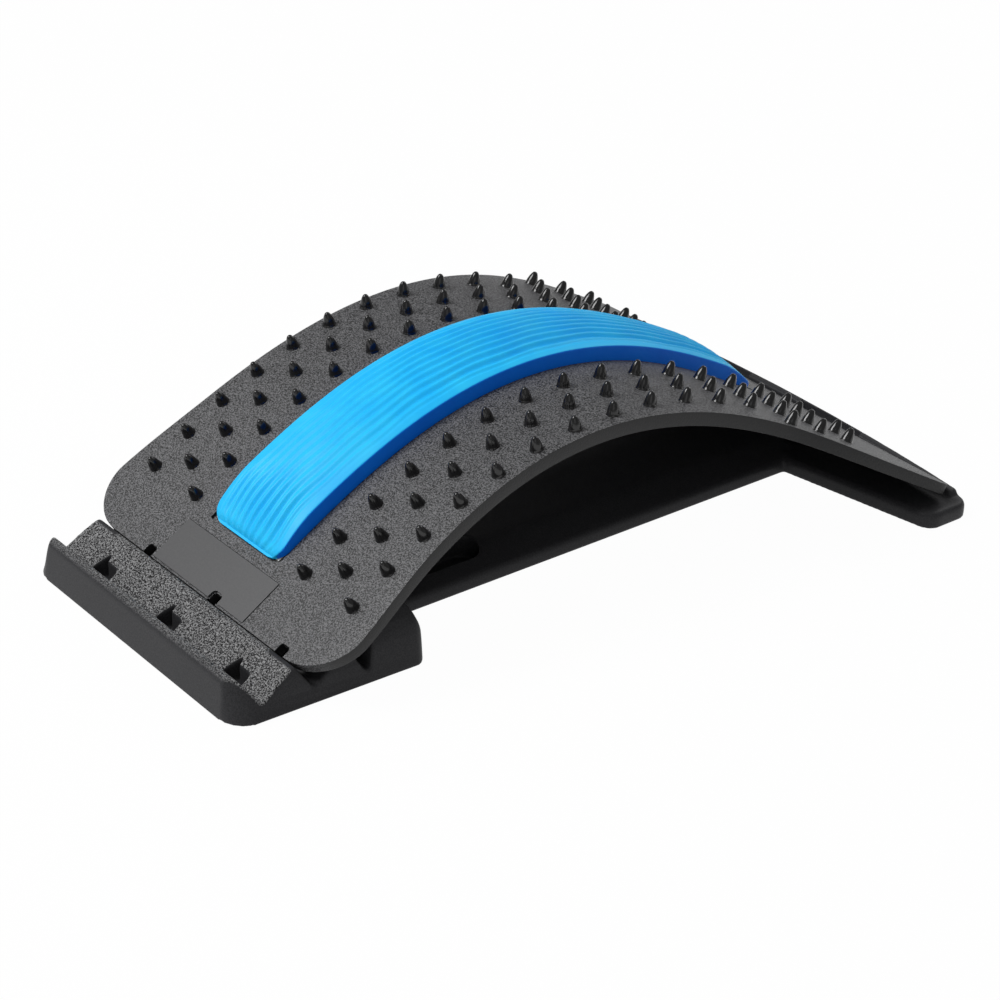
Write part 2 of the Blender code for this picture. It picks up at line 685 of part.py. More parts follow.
def build_foot_pads(material):
    for name, x, y in foot_pad_places():
        pad = add_part(name, disc(0.0, 0.0, 0.0, FOOT_PAD_THICKNESS, FOOT_PAD_DIAMETER), material)
        pad.location = (x, y, 0.0)


# Arch of the plate

def slope_at(station, length, far_slope):
    """Slope in radians at a station, for a plate of this length and far end slope."""
    share = (station - SWING_START) / (length - SWING_REST - SWING_START)
    share = min(max(share, 0.0), 1.0)
    middle = (NEAR_SLOPE + far_slope) / 2
    swing = (NEAR_SLOPE - far_slope) / 2
    return math.radians(middle + swing * math.cos(math.pi * share))


def run_to(station, length, far_slope, steps=240):
    """Way along and up from the near end to a station, summed along the slope."""
    pace = station / steps
    slopes = [slope_at((step + 0.5) * pace, length, far_slope) for step in range(steps)]
    return (pace * sum(math.cos(slope) for slope in slopes),
            pace * sum(math.sin(slope) for slope in slopes))


def near_end_place():
    """Near end of the top face: the end face lies along the steep wall of its groove."""
    rise = NEAR_END_TOP - GROOVE_FLOOR
    gap = HOOK_GAP / math.cos(math.radians(NEAR_SLOPE))
    return PLATE_GROOVE_Y - rise * WALL_LEAN + gap, NEAR_END_TOP


def hinge_miss(length, far_slope):
    """Way from the middle of the far end's thickness to the hinge line."""
    start_y, start_z = near_end_place()
    run_y, run_z = run_to(length, length, far_slope)
    half = PLATE_THICKNESS / 2
    slope = math.radians(far_slope)
    y = start_y + run_y + half * (math.sin(slope) - math.cos(slope))
    z = start_z + run_z - half * (math.cos(slope) + math.sin(slope))
    return y - HINGE_Y, z - HINGE_Z


def fitted_arch():
    """Length and far end slope that bring the plate from its groove to the hinge line."""
    start_y, start_z = near_end_place()
    length = HINGE_Y - start_y
    far_slope = -NEAR_SLOPE
    nudge = 0.001
    for attempt in range(12):
        y, z = hinge_miss(length, far_slope)
        length_y, length_z = hinge_miss(length + nudge, far_slope)
        slope_y, slope_z = hinge_miss(length, far_slope + nudge)
        a, b = (length_y - y) / nudge, (slope_y - y) / nudge
        c, d = (length_z - z) / nudge, (slope_z - z) / nudge
        det = a * d - b * c
        length -= (y * d - z * b) / det
        far_slope -= (z * a - y * c) / det
    return length, far_slope


PLATE_LENGTH, FAR_SLOPE = fitted_arch()
PAD_END = PLATE_LENGTH - PAD_REST
STUD_ROWS = int((PLATE_LENGTH - STUD_START - STUD_REST) / STUD_PITCH) + 1


@lru_cache(maxsize=None)
def arch_run(station):
    return run_to(station, PLATE_LENGTH, FAR_SLOPE)


def plate_slope(station):
    return slope_at(station, PLATE_LENGTH, FAR_SLOPE)


def arch_place(x, station, lift):
    """World place of a point at a station along the top face, raised by lift."""
    start_y, start_z = near_end_place()
    inside = round(min(max(station, 0.0), PLATE_LENGTH), 6)
    run_y, run_z = arch_run(inside)
    slope = plate_slope(inside)
    extra = station - inside
    y = start_y + run_y + math.cos(slope) * extra - math.sin(slope) * lift
    z = start_z + run_z + math.sin(slope) * extra + math.cos(slope) * lift
    return Vector((x, y, z))


def bent(mesh):
    """Bend a flat mesh, drawn with the station as Y and the lift as Z, onto the arch."""
    for vertex in mesh.vertices:
        vertex.co = arch_place(*vertex.co)
    return mesh


def curve_through(points, place):
    """Height at a place on the smooth curve through (place, height) points."""
    last = len(points) - 2
    index = 0
    while index < last and place > points[index + 1][0]:
        index += 1
    (x0, y0), (x1, y1) = points[index], points[index + 1]

    def steepness(number):
        if number <= 0 or number >= len(points) - 1:
            return 0.0
        before, after = points[number - 1], points[number + 1]
        return (after[1] - before[1]) / (after[0] - before[0])

    span = x1 - x0
    share = min(max((place - x0) / span, 0.0), 1.0)
    rest = 1.0 - share
    return (y0 * rest * rest * (1 + 2 * share) + y1 * share * share * (1 + 2 * rest)
            + span * share * rest * (steepness(index) * rest - steepness(index + 1) * share))


def corner_cut(distance, radius):
    """How far a rounded corner draws the side in, at a distance from the end."""
    if distance >= radius:
        return 0.0
    return radius - math.sqrt(max(radius ** 2 - (radius - distance) ** 2, 0.0))


def plate_half_width(station):
    """Half width of the plate: wide at the rack, drawn in at the waist, flared at the rail."""
    points = list(NEAR_OUTLINE) + [(PLATE_LENGTH - rest, half) for rest, half in FAR_OUTLINE]
    half = curve_through(points, station)
    return half - corner_cut(station, NEAR_CORNER) - corner_cut(PLATE_LENGTH - station, FAR_CORNER)


def plate_stations(count=36):
    """Stations of the plate's cross rows, closer together in the rounded corners."""
    stations = [NEAR_CORNER * (1.0 - math.cos(math.radians(angle))) for angle in (0, 25, 42, 58, 74)]
    last = PLATE_LENGTH - FAR_CORNER
    for step in range(count + 1):
        stations.append(NEAR_CORNER + (last - NEAR_CORNER) * step / count)
    stations += [last + FAR_CORNER * math.sin(math.radians(angle)) for angle in (37, 90)]
    return stations


def sheet(stations, columns, low, high, side_of):
    """Closed sheet between two lifts. side_of gives the x of each column at a station."""
    builder = bmesh.new()
    rows = len(stations)
    bmesh.ops.create_grid(builder, x_segments=columns - 1, y_segments=rows - 1, size=0.5)
    for vertex in builder.verts:
        column = round((vertex.co.x + 0.5) * (columns - 1))
        row = round((vertex.co.y + 0.5) * (rows - 1))
        station = stations[row]
        vertex.co = (side_of(column, station), station, high)
    lowered = bmesh.ops.extrude_face_region(builder, geom=list(builder.faces))
    for item in lowered["geom"]:
        if isinstance(item, bmesh.types.BMVert):
            item.co.z = low
    bmesh.ops.recalc_face_normals(builder, faces=builder.faces)
    return builder


def plate_blank():
    """Flat plate with a rounded edge, whose rim hangs lower towards mid length, bent to the arch."""
    def side_of(column, station):
        return (column - 1) * plate_half_width(station)

    builder = sheet(plate_stations(), 3, -PLATE_THICKNESS, 0.0, side_of)
    edges = [edge for edge in builder.edges
             if len(edge.link_faces) == 2 and edge.calc_face_angle() > 1.2
             and abs(edge.verts[0].co.z - edge.verts[1].co.z) < 0.00001]
    bmesh.ops.bevel(builder, geom=edges, offset=PLATE_EDGE_ROUNDING, segments=2, profile=0.5,
                    affect='EDGES', clamp_overlap=True)
    for vertex in builder.verts:
        if vertex.co.z < -PLATE_THICKNESS / 2:
            share = min(max(vertex.co.y / PLATE_LENGTH, 0.0), 1.0)
            vertex.co.z -= PLATE_RIM_SWELL * math.sin(math.pi * share)
    return bent(mesh_from(builder, "plate"))


def bent_slab(x_low, x_high, first, last, low, high, rows):
    """Slab that follows the arch, with straight sides."""
    stations = [first + (last - first) * row / (rows - 1) for row in range(rows)]
    return bent(mesh_from(sheet(stations, 2, low, high, lambda column, station:
                                x_high if column else x_low), "slab"))


def underside_cells():
    """Cells cut from below, which leave the rim and a grid of ribs standing."""
    cells = []
    last = PLATE_LENGTH - CELL_REST
    rib = RIB_THICKNESS / 2
    low = -PLATE_THICKNESS - OVERRUN
    for index in range(CELL_ROWS):
        start = CELL_START + (last - CELL_START) * index / CELL_ROWS + rib
        finish = CELL_START + (last - CELL_START) * (index + 1) / CELL_ROWS - rib
        stations = [start + (finish - start) * row / 5 for row in range(6)]

        def middle_side(column, station):
            return (CELL_COLUMN - rib) * (1 if column else -1)

        cells.append(mesh_from(sheet(stations, 2, low, -PLATE_SKIN - CELL_STEP, middle_side), "cell"))
        for side in (-1, 1):

            def wing_side(column, station, side=side):
                outer = plate_half_width(station) - PLATE_RIM
                return side * (outer if (column > 0) == (side > 0) else CELL_COLUMN + rib)

            cells.append(mesh_from(sheet(stations, 2, low, -PLATE_SKIN, wing_side), "cell"))
    return bent(join_meshes(cells, "cells"))


def turned(profile, sides, name):
    """Solid turned about Z from a profile of (radius, height), from top to bottom."""
    mesh = bpy.data.meshes.new(name)
    points = [(radius, 0.0, height) for radius, height in profile]
    mesh.from_pydata(points, [(index, index + 1) for index in range(len(points) - 1)], [])
    holder = bpy.data.objects.new(name, mesh)
    bpy.context.scene.collection.objects.link(holder)
    screw = holder.modifiers.new("turn", 'SCREW')
    screw.steps = sides
    screw.render_steps = sides
    screw.use_merge_vertices = True
    screw.merge_threshold = 0.00001
    graph = bpy.context.evaluated_depsgraph_get()
    result = bpy.data.meshes.new_from_object(holder.evaluated_get(graph))
    bpy.data.objects.remove(holder)
    bpy.data.meshes.remove(mesh)
    return result


def placed_on_arch(template, places):
    """Copies of an upright solid, each square to the plate at its (x, station)."""
    builder = bmesh.new()
    for x, station in places:
        count = len(builder.verts)
        builder.from_mesh(template)
        builder.verts.ensure_lookup_table()
        matrix = (Matrix.Translation(arch_place(x, station, 0.0))
                  @ Matrix.Rotation(plate_slope(station), 4, 'X'))
        bmesh.ops.transform(builder, verts=builder.verts[count:], matrix=matrix)
    bpy.data.meshes.remove(template)
    return mesh_from(builder, "copies")


def stud_places():
    """Columns of studs on each side, every second column shifted by half a pitch."""
    places = []
    for side in (-1, 1):
        for column in range(STUD_COLUMNS):
            shift = 0.5 * (column % 2)
            for row in range(STUD_ROWS - column % 2):
                places.append((side * (STUD_INNER + column * STUD_STEP), row + shift))
        for row in range(EXTRA_STUDS):
            outer = STUD_INNER + STUD_COLUMNS * STUD_STEP
            places.append((side * outer, STUD_ROWS - 1.5 - row))
    return [(x, STUD_START + row * STUD_PITCH) for x, row in places]


def all_studs():
    """Tapered studs with blunt tips."""
    profile = [(0.0, STUD_HEIGHT), (STUD_TIP_DIAMETER / 2, STUD_HEIGHT),
               (STUD_WAIST_DIAMETER / 2, STUD_WAIST_HEIGHT),
               (STUD_DIAMETER / 2, -STUD_ROOT), (0.0, -STUD_ROOT)]
    return placed_on_arch(turned(profile, STUD_SIDES, "stud"), stud_places())


def hook_solids():
    """Flat hooks square to the plate, under its near end."""
    half = HOOK_WIDTH / 2
    return [bent_slab(x - half, x + half, HOOK_SETBACK, HOOK_SETBACK + HOOK_THICKNESS,
                      -HOOK_DROP, -PLATE_THICKNESS / 2, 2) for x in SLOT_PLACES]


def notch_cutters(margin, low, high):
    """Round cornered cutters for the notches in the near end, larger by a margin."""
    cutters = []
    half = NOTCH_WIDTH / 2 + margin
    depth = NOTCH_DEPTH + margin
    corner = NOTCH_CORNER + margin
    for x in NOTCH_PLACES:
        plan = fillet([(x - half, -OVERRUN, 0.0), (x + half, -OVERRUN, 0.0),
                       (x + half, depth, corner), (x - half, depth, corner)], 4)
        cutters.append(bent(extruded(plan, low, high, PLAN)))
    return join_meshes(cutters, "notches")


def tongue_solids():
    """Two flat tongues on the far end face, in line with the plate."""
    low = -(PLATE_THICKNESS + TONGUE_THICKNESS) / 2
    high = low + TONGUE_THICKNESS
    half = TONGUE_WIDTH / 2
    return [bent_slab(side * TONGUE_SPACING - half, side * TONGUE_SPACING + half,
                      PLATE_LENGTH - PLATE_THICKNESS, PLATE_LENGTH + TONGUE_REACH, low, high, 2)
            for side in (-1, 1)]


def build_plate(material):
    plate = add_part("arch_plate", plate_blank(), material)
    boolean(plate, add_cutter("underside_cells", underside_cells()), 'DIFFERENCE')
    half = PAD_WIDTH / 2 + PAD_SIDE_GAP
    recess = bent_slab(-half, half, PAD_START - PAD_SIDE_GAP, PAD_END + PAD_SIDE_GAP,
                       -PAD_RECESS_DEPTH, OVERRUN, 36)
    boolean(plate, add_cutter("pad_recess", recess), 'DIFFERENCE')
    half = LABEL_WIDTH / 2 + SEAT_GAP
    recess = bent_slab(-half, half, LABEL_START - SEAT_GAP, LABEL_START + LABEL_LENGTH + SEAT_GAP,
                       -LABEL_RECESS_DEPTH, OVERRUN, 4)
    boolean(plate, add_cutter("label_recess", recess), 'DIFFERENCE')
    boolean(plate, add_cutter("tongues", join_meshes(tongue_solids(), "tongues")), 'UNION')
    boolean(plate, add_cutter("hooks", join_meshes(hook_solids(), "hooks")), 'UNION')
    notches = notch_cutters(0.0, -PLATE_THICKNESS - OVERRUN, OVERRUN)
    boolean(plate, add_cutter("notches", notches), 'DIFFERENCE')
    boolean(plate, add_cutter("studs", all_studs()), 'UNION')
    return plate


# Pad, film and label

def pad_end_distance(station):
    return min(station - PAD_START, PAD_END - station)


def pad_height(x, station):
    """Top of the pad at a place across it: rounded shoulders, crown and ribs, thin at the ends."""
    rise = PAD_END_HEIGHT / PAD_CROWN
    run = min(pad_end_distance(station) / PAD_END_RUN, 1.0)
    fullness = rise + (1.0 - rise) * math.sin(math.pi / 2 * run)
    inward = min(max(PAD_WIDTH / 2 - abs(x), 0.0) / PAD_SHOULDER, 1.0)
    top = PAD_CROWN - PAD_RIB_DEPTH / 2
    side = PAD_SIDE_HEIGHT + (top - PAD_SIDE_HEIGHT) * math.sqrt(1.0 - (1.0 - inward) ** 2)
    ribbed = PAD_WIDTH - 2 * PAD_SHOULDER
    wave = 0.0
    if inward >= 1.0:
        wave = PAD_RIB_DEPTH / 2 * math.cos(2 * math.pi * PAD_RIBS * x / ribbed)
    return (side + wave) * fullness


def pad_columns():
    """Places across the pad, from -1 to 1: the shoulders, then two to each half rib."""
    half = PAD_WIDTH / 2
    shoulder = [-1.0 + PAD_SHOULDER * share / half for share in (0.0, 0.12, 0.42)]
    ribbed = 0.9999 * (half - PAD_SHOULDER) / half
    count = PAD_RIBS * 4
    ribs = [ribbed * (2.0 * step / count - 1.0) for step in range(count + 1)]
    return shoulder + ribs + [-place for place in reversed(shoulder)]


def build_pad(material):
    columns = pad_columns()
    run = [PAD_CORNER * (1.0 - math.cos(math.radians(angle))) for angle in (0, 30, 60, 90)]
    run += [0.4 * PAD_END_RUN, 0.7 * PAD_END_RUN]
    middle = PAD_END - PAD_START - 2 * PAD_END_RUN
    stations = [PAD_START + place for place in run]
    stations += [PAD_START + PAD_END_RUN + middle * step / 12 for step in range(13)]
    stations += [PAD_END - place for place in reversed(run)]

    def side_of(column, station):
        cut = corner_cut(pad_end_distance(station), PAD_CORNER)
        return columns[column] * (PAD_WIDTH / 2 - cut)

    raised = 1.0
    builder = sheet(stations, len(columns), PAD_BOTTOM, raised, side_of)
    for vertex in builder.verts:
        if vertex.co.z == raised:
            cut = corner_cut(pad_end_distance(vertex.co.y), PAD_CORNER)
            across = vertex.co.x / (PAD_WIDTH / 2 - cut)
            vertex.co.z = pad_height(across * PAD_WIDTH / 2, vertex.co.y)
    lengthwise = [edge for edge in builder.edges
                  if edge.verts[0].co.y != edge.verts[1].co.y
                  and all(face.normal.z < -0.9 for face in edge.link_faces)
                  and all(vertex.co.z < 0.0 for vertex in edge.verts)]
    bmesh.ops.dissolve_edges(builder, edges=lengthwise, use_verts=True)
    return add_part("ribbed_pad", bent(mesh_from(builder, "pad")), material)


def build_film(material):
    half = PAD_WIDTH / 2 - FILM_MARGIN
    low = SEAT_GAP - PAD_RECESS_DEPTH
    film = bent_slab(-half, half, PAD_START + FILM_MARGIN, PAD_END - FILM_MARGIN,
                     low, low + FILM_THICKNESS, 36)
    return add_part("pad_adhesive_film", film, material)


def build_label(material):
    half = LABEL_WIDTH / 2
    label = bent_slab(-half, half, LABEL_START, LABEL_START + LABEL_LENGTH,
                      LABEL_BOTTOM, LABEL_BOTTOM + LABEL_THICKNESS, 4)
    label = add_part("blank_label_plate", label, material)
    notches = notch_cutters(NOTCH_MARGIN, -PLATE_THICKNESS, OVERRUN)
    boolean(label, add_cutter("label_notches", notches), 'DIFFERENCE')
    return label


def main():
    black = make_material("black_abs", (0.012, 0.012, 0.013), 0.5)
    charcoal = make_material("charcoal_abs", (0.02, 0.02, 0.021), 0.6)
    blue = make_material("blue_foam_rubber", (0.0, 0.35, 0.9), 0.55)
    clear = make_material("clear_adhesive", (0.7, 0.7, 0.68), 0.4)
    grey = make_material("grey_label_film", (0.06, 0.06, 0.06), 0.5)
    rubber = make_material("black_rubber", (0.02, 0.02, 0.02), 0.85)
    base = build_base(black)
    plate = build_plate(charcoal)
    build_pad(blue)
    build_film(clear)
    build_label(grey)
    build_foot_pads(rubber)
    hinge = bpy.data.objects.new("arch_hinge", None)
    hinge.location = (0.0, HINGE_Y, HINGE_Z)
    PARTS.objects.link(hinge)
    for part in PARTS.objects:
        if part.type == 'MESH':
            part.data.shade_smooth()
            part.data.set_sharp_from_angle(angle=math.radians(35))
    return base, plate


main()
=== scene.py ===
import json
import math
from functools import lru_cache

import bmesh
import bpy
from mathutils import Matrix, Vector


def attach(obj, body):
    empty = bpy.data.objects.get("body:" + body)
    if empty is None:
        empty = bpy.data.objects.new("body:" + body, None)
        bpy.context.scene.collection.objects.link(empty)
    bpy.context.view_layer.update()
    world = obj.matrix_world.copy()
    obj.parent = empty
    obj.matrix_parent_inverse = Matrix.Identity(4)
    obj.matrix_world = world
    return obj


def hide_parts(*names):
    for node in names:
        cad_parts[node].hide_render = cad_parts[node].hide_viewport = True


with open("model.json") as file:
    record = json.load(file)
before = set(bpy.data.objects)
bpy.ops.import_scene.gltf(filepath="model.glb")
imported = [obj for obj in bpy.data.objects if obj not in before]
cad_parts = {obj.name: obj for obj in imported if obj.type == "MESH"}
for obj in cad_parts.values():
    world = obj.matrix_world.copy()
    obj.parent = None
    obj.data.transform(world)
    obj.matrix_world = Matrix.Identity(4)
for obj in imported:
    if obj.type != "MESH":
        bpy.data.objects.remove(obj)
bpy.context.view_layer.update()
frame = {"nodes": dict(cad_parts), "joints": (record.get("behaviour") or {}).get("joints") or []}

MM = 0.001
NODES = frame["nodes"]

# Place of the plate on the base
BASE_LENGTH = 378.0 * MM
PLATE_GROOVE = (14.6 + 25.0) * MM
GROOVE_FLOOR = 7.0 * MM
HOOK_GAP = 0.4 * MM
HINGE = Vector(frame["joints"][0]["pos_m"])

# Arch plate: its slope in degrees swings from the near value to the far one along a half cosine
PLATE_THICKNESS = 5.0 * MM
PLATE_SKIN = 2.6 * MM
PLATE_RIM = 3.0 * MM
PLATE_RIM_SWELL = 1.6 * MM
PLATE_EDGE_ROUNDING = 1.3 * MM
NEAR_SLOPE = 32.8
SWING_START = 24.3 * MM
SWING_REST = 45.0 * MM
NEAR_END_TOP = 16.8 * MM
NEAR_CORNER = 26.0 * MM
FAR_CORNER = 6.0 * MM

# Half widths of the plate, each at a distance from its near end or from its far end
NEAR_OUTLINE = ((0.0, 93.5 * MM), (24.0 * MM, 93.5 * MM), (76.0 * MM, 86.3 * MM),
                (140.0 * MM, 83.4 * MM))
FAR_OUTLINE = ((163.0 * MM, 87.3 * MM), (99.0 * MM, 98.5 * MM), (57.0 * MM, 112.0 * MM),
               (19.0 * MM, 121.0 * MM), (0.0, 123.3 * MM))

# Cells under the plate, between its ribs
CELL_ROWS = 8
CELL_COLUMN = 30.0 * MM
CELL_START = 17.0 * MM
CELL_REST = 10.0 * MM
CELL_STEP = 0.9 * MM
RIB_THICKNESS = 2.0 * MM

# Tongues at the far end, and hooks and notches at the near end
TONGUE_SPACING = 39.0 * MM
TONGUE_WIDTH = 40.0 * MM
TONGUE_THICKNESS = 2.4 * MM
TONGUE_REACH = 4.4 * MM
HOOK_PLACES = (-49.5 * MM, 3.0 * MM, 55.5 * MM)
HOOK_WIDTH = 9.0 * MM
HOOK_THICKNESS = 2.4 * MM
HOOK_SETBACK = 0.3 * MM
HOOK_DROP = 14.0 * MM
HOOK_CORNER = 2.0 * MM
HOOK_EDGE_ROUNDING = 0.45 * MM
NOTCH_PLACES = (-39.2 * MM, 12.2 * MM, 63.6 * MM)
NOTCH_WIDTH = 6.0 * MM
NOTCH_DEPTH = 4.9 * MM
NOTCH_CORNER = 1.6 * MM
NOTCH_MARGIN = 0.6 * MM

# How far a cutter stands out of what it cuts
ABOVE = 4.0 * MM

# Studs. The profile is a row of radius and height in millimetres, and the dip is a share of the flare
STUD_PITCH = 21.17 * MM
STUD_START = 33.9 * MM
STUD_REST = 30.0 * MM
STUD_INNER = 42.4 * MM
STUD_STEP = 17.0 * MM
STUD_COLUMNS = 3
EXTRA_STUDS = 3
STUD_SIDES = 24
STUD_FLARE = 0.25 * MM
STUD_FLARE_HEIGHT = 0.2 * MM
STUD_FLARE_DIP = 0.3
STUD_ROOT = 0.6 * MM
STUD_PROFILE = ((0.0, 6.6), (0.5, 6.54), (0.92, 6.32), (1.28, 5.9), (1.6, 5.35), (1.95, 4.55),
                (2.3, 3.6), (2.6, 2.5), (2.82, 1.4), (2.95, 0.5))

# Ribbed pad
PAD_WIDTH = 51.0 * MM
PAD_START = 30.2 * MM
PAD_REST = 43.0 * MM
PAD_CROWN = 10.3 * MM
PAD_CROWN_POWER = 2.4
PAD_SIDE_HEIGHT = 6.9 * MM
PAD_EDGE_ROUNDING = 0.7 * MM
PAD_BAND = 3.4 * MM
# Side faces that turn further aside than this take the deeper blue foam, which is painted shade
PAD_SHADE_TURN = 0.7
PAD_END_HEIGHT = 2.4 * MM
PAD_END_RUN = 28.0 * MM
PAD_CORNER = 8.0 * MM
PAD_LIP = 1.3 * MM
PAD_LIP_HEIGHT = 0.7 * MM
PAD_NOSE = 3.0 * MM
PAD_SIDE_GAP = 0.5 * MM
PAD_RECESS_DEPTH = 1.5 * MM
PAD_BOTTOM = -0.5 * MM

# Ribs of the pad: their depths along it, and how far and over what lengths they wander
PAD_RIBS = 9
PAD_RIB_DEPTHS = ((0.0, 2.0 * MM), (16.0 * MM, 1.8 * MM), (36.0 * MM, 0.6 * MM), (80.0 * MM, 0.8 * MM),
                  (125.0 * MM, 1.5 * MM), (160.0 * MM, 1.8 * MM), (290.0 * MM, 1.9 * MM))
RIB_WANDER = 0.45 * MM
RIB_WANDER_RUN = 13.0 * MM
RIB_RIPPLE = 0.3 * MM
RIB_RIPPLE_RUN = 5.1 * MM
RIB_RIPPLE_WIDTH = 6.0 * MM

# Where the rack's ramps carry their coarse grain, and the ends of the grooves, which are left without it
# in dark satin as painted shade
RACK_START = -187.0 * MM
RACK_START_FADE = 4.0 * MM
RACK_END = -121.0 * MM
RACK_FLOOR = 6.2 * MM
RACK_FADE = 0.8 * MM
GROOVE_SHADE_SIDE = 60.0 * MM
GROOVE_SHADE_START = -159.0 * MM

# Near foot's sides, which flare out, and how the base is melted round
FOOT_HALF_WIDTH = 82.0 * MM
FOOT_FLARE = 2.7 * MM
FOOT_LENGTH = 95.0 * MM
BASE_VOXEL = 0.6 * MM
BASE_SOFTENING = 0.5
BASE_SOFTENING_ROUNDS = 16
BASE_KEEP = 0.16

# Blank label
LABEL_WIDTH = 70.0 * MM
LABEL_LENGTH = 22.5 * MM
LABEL_START = 1.1 * MM
LABEL_THICKNESS = 0.8 * MM
LABEL_RECESS_DEPTH = 0.8 * MM
LABEL_GAP = 0.3 * MM

# Fineness of the meshes: points in a row, and degrees between the points of an arc
ARCH_STEPS = 240
PLATE_POINTS = 130
PLATE_COLUMNS = 24
PLATE_NEAR_TURN = 6
PLATE_FAR_TURN = 18
PLATE_EDGE_STEPS = 4
HOOK_EDGE_STEPS = 3
HOOK_ARC_STEPS = 6
NOTCH_ARC_STEPS = 8
CELL_POINTS = 14
LABEL_POINTS = 12
PAD_RECESS_POINTS = 120
PAD_POINTS = 140
PAD_END_POINTS = 24
PAD_COLUMNS = 150
PAD_EDGE_TURN = 18
PAD_CORNER_TURN = 6

# An edge that turns by more than this, in radians, is rounded
SHARP_TURN = 1.2

# Shading runs smooth over edges up to these angles, in degrees
PLATE_SMOOTH = 35.0
EDGE_SMOOTH = 50.0
ROUND_SMOOTH = 60.0

# Lengths under the tolerance count as none. Stations are rounded, so that equal ones are worked out once
TOLERANCE = 0.01 * MM
STATION_DIGITS = 6
RIGHT_ANGLE = 90

# Fit of the arch to its two supports
FIT_ROUNDS = 12
FIT_NUDGE = 0.001

# Index of the colour sockets in a mix node
MIX_FIRST = 6
MIX_SECOND = 7
MIX_RESULT = 2

# Noise: width of a feature at a scale of 1, its finer octaves and their strength
NOISE_WIDTH = 0.5
NOISE_DETAIL = 2.0
NOISE_ROUGHNESS = 0.6

# Typical of ABS, and close to that of rubber and film
POLYMER_IOR = 1.53

# How far a normal points aside or up, from 0 to 1, where the plate's sides take their painted shade or
# the rack's ramps their grain
SIDE_TURN = (0.45, 0.8)
RAMP_TURN = (0.45, 0.6)

# Floor, light and camera. The camera was fitted to the photograph, its angles in degrees
FLOOR_REACH = 6.0
FLOOR_WHITE = 0.98
SKY_STRENGTH = 0.3
LIGHT_TARGET = Vector((0.0, 0.0, 0.05))
CAMERA_PLACE = Vector((0.858274, -0.678540, 0.609147))
CAMERA_HEADING = 51.2305
CAMERA_TILT = 61.3570
CAMERA_ROLL = 1.4696
CAMERA_LENS = 97.444
SENSOR_WIDTH = 36.0


# Arch of the plate

def slope_at(station, length, far_slope):
    """Slope in radians at a station, for a plate of this length and far end slope."""
    share = (station - SWING_START) / (length - SWING_REST - SWING_START)
    share = min(max(share, 0.0), 1.0)
    middle = (NEAR_SLOPE + far_slope) / 2
    swing = (NEAR_SLOPE - far_slope) / 2
    return math.radians(middle + swing * math.cos(math.pi * share))


def run_to(station, length, far_slope):
    """Way along and up from the near end to a station, summed along the slope."""
    pace = station / ARCH_STEPS
    slopes = [slope_at((step + 0.5) * pace, length, far_slope) for step in range(ARCH_STEPS)]
    return (pace * sum(math.cos(slope) for slope in slopes),
            pace * sum(math.sin(slope) for slope in slopes))


def near_end_place():
    """Near end of the top face: the end face lies along the steep wall of its groove."""
    rise = NEAR_END_TOP - GROOVE_FLOOR
    slope = math.radians(NEAR_SLOPE)
    groove = PLATE_GROOVE - BASE_LENGTH / 2
    return groove - rise * math.tan(slope) + HOOK_GAP / math.cos(slope), NEAR_END_TOP


def hinge_miss(length, far_slope):
    """Way from the middle of the far end's thickness to the hinge line."""
    start_y, start_z = near_end_place()
    run_y, run_z = run_to(length, length, far_slope)
    half = PLATE_THICKNESS / 2
    slope = math.radians(far_slope)
    y = start_y + run_y + half * (math.sin(slope) - math.cos(slope))
    z = start_z + run_z - half * (math.cos(slope) + math.sin(slope))
    return y - HINGE.y, z - HINGE.z


def fitted_arch():
    """Length and far end slope that bring the plate from its groove to the hinge line."""
    length = HINGE.y - near_end_place()[0]
    far_slope = -NEAR_SLOPE
    for _ in range(FIT_ROUNDS):
        y, z = hinge_miss(length, far_slope)
        length_y, length_z = hinge_miss(length + FIT_NUDGE, far_slope)
        slope_y, slope_z = hinge_miss(length, far_slope + FIT_NUDGE)
        a, b = (length_y - y) / FIT_NUDGE, (slope_y - y) / FIT_NUDGE
        c, d = (length_z - z) / FIT_NUDGE, (slope_z - z) / FIT_NUDGE
        det = a * d - b * c
        length -= (y * d - z * b) / det
        far_slope -= (z * a - y * c) / det
    return length, far_slope


PLATE_LENGTH, FAR_SLOPE = fitted_arch()
PAD_END = PLATE_LENGTH - PAD_REST
STUD_ROWS = int((PLATE_LENGTH - STUD_START - STUD_REST) / STUD_PITCH) + 1


@lru_cache(maxsize=None)
def arch_run(station):
    """Way along and up to a station of this plate, worked out once for each station."""
    return run_to(station, PLATE_LENGTH, FAR_SLOPE)


def plate_slope(station):
    """Slope of this plate in radians."""
    return slope_at(station, PLATE_LENGTH, FAR_SLOPE)


def arch_place(x, station, lift):
    """World place of a point at a station along the top face, raised by lift."""
    start_y, start_z = near_end_place()
    inside = round(min(max(station, 0.0), PLATE_LENGTH), STATION_DIGITS)
    run_y, run_z = arch_run(inside)
    slope = plate_slope(inside)
    extra = station - inside
    y = start_y + run_y + math.cos(slope) * extra - math.sin(slope) * lift
    z = start_z + run_z + math.sin(slope) * extra + math.cos(slope) * lift
    return Vector((x, y, z))


# Mesh helpers

def mesh_from(builder, name):
    """Mesh of a finished builder."""
    mesh = bpy.data.meshes.new(name)
    builder.to_mesh(mesh)
    builder.free()
    return mesh


def join_meshes(meshes, name):
    """One mesh that holds several closed bodies."""
    builder = bmesh.new()
    for mesh in meshes:
        builder.from_mesh(mesh)
        bpy.data.meshes.remove(mesh)
    return mesh_from(builder, name)


def bent(mesh):
    """Bend a flat mesh, drawn with the station as Y and the lift as Z, onto the arch."""
    for vertex in mesh.vertices:
        vertex.co = arch_place(*vertex.co)
    return mesh


def even(first, last, count):
    """Values from first to last in this many equal steps."""
    return [first + (last - first) * step / count for step in range(count + 1)]


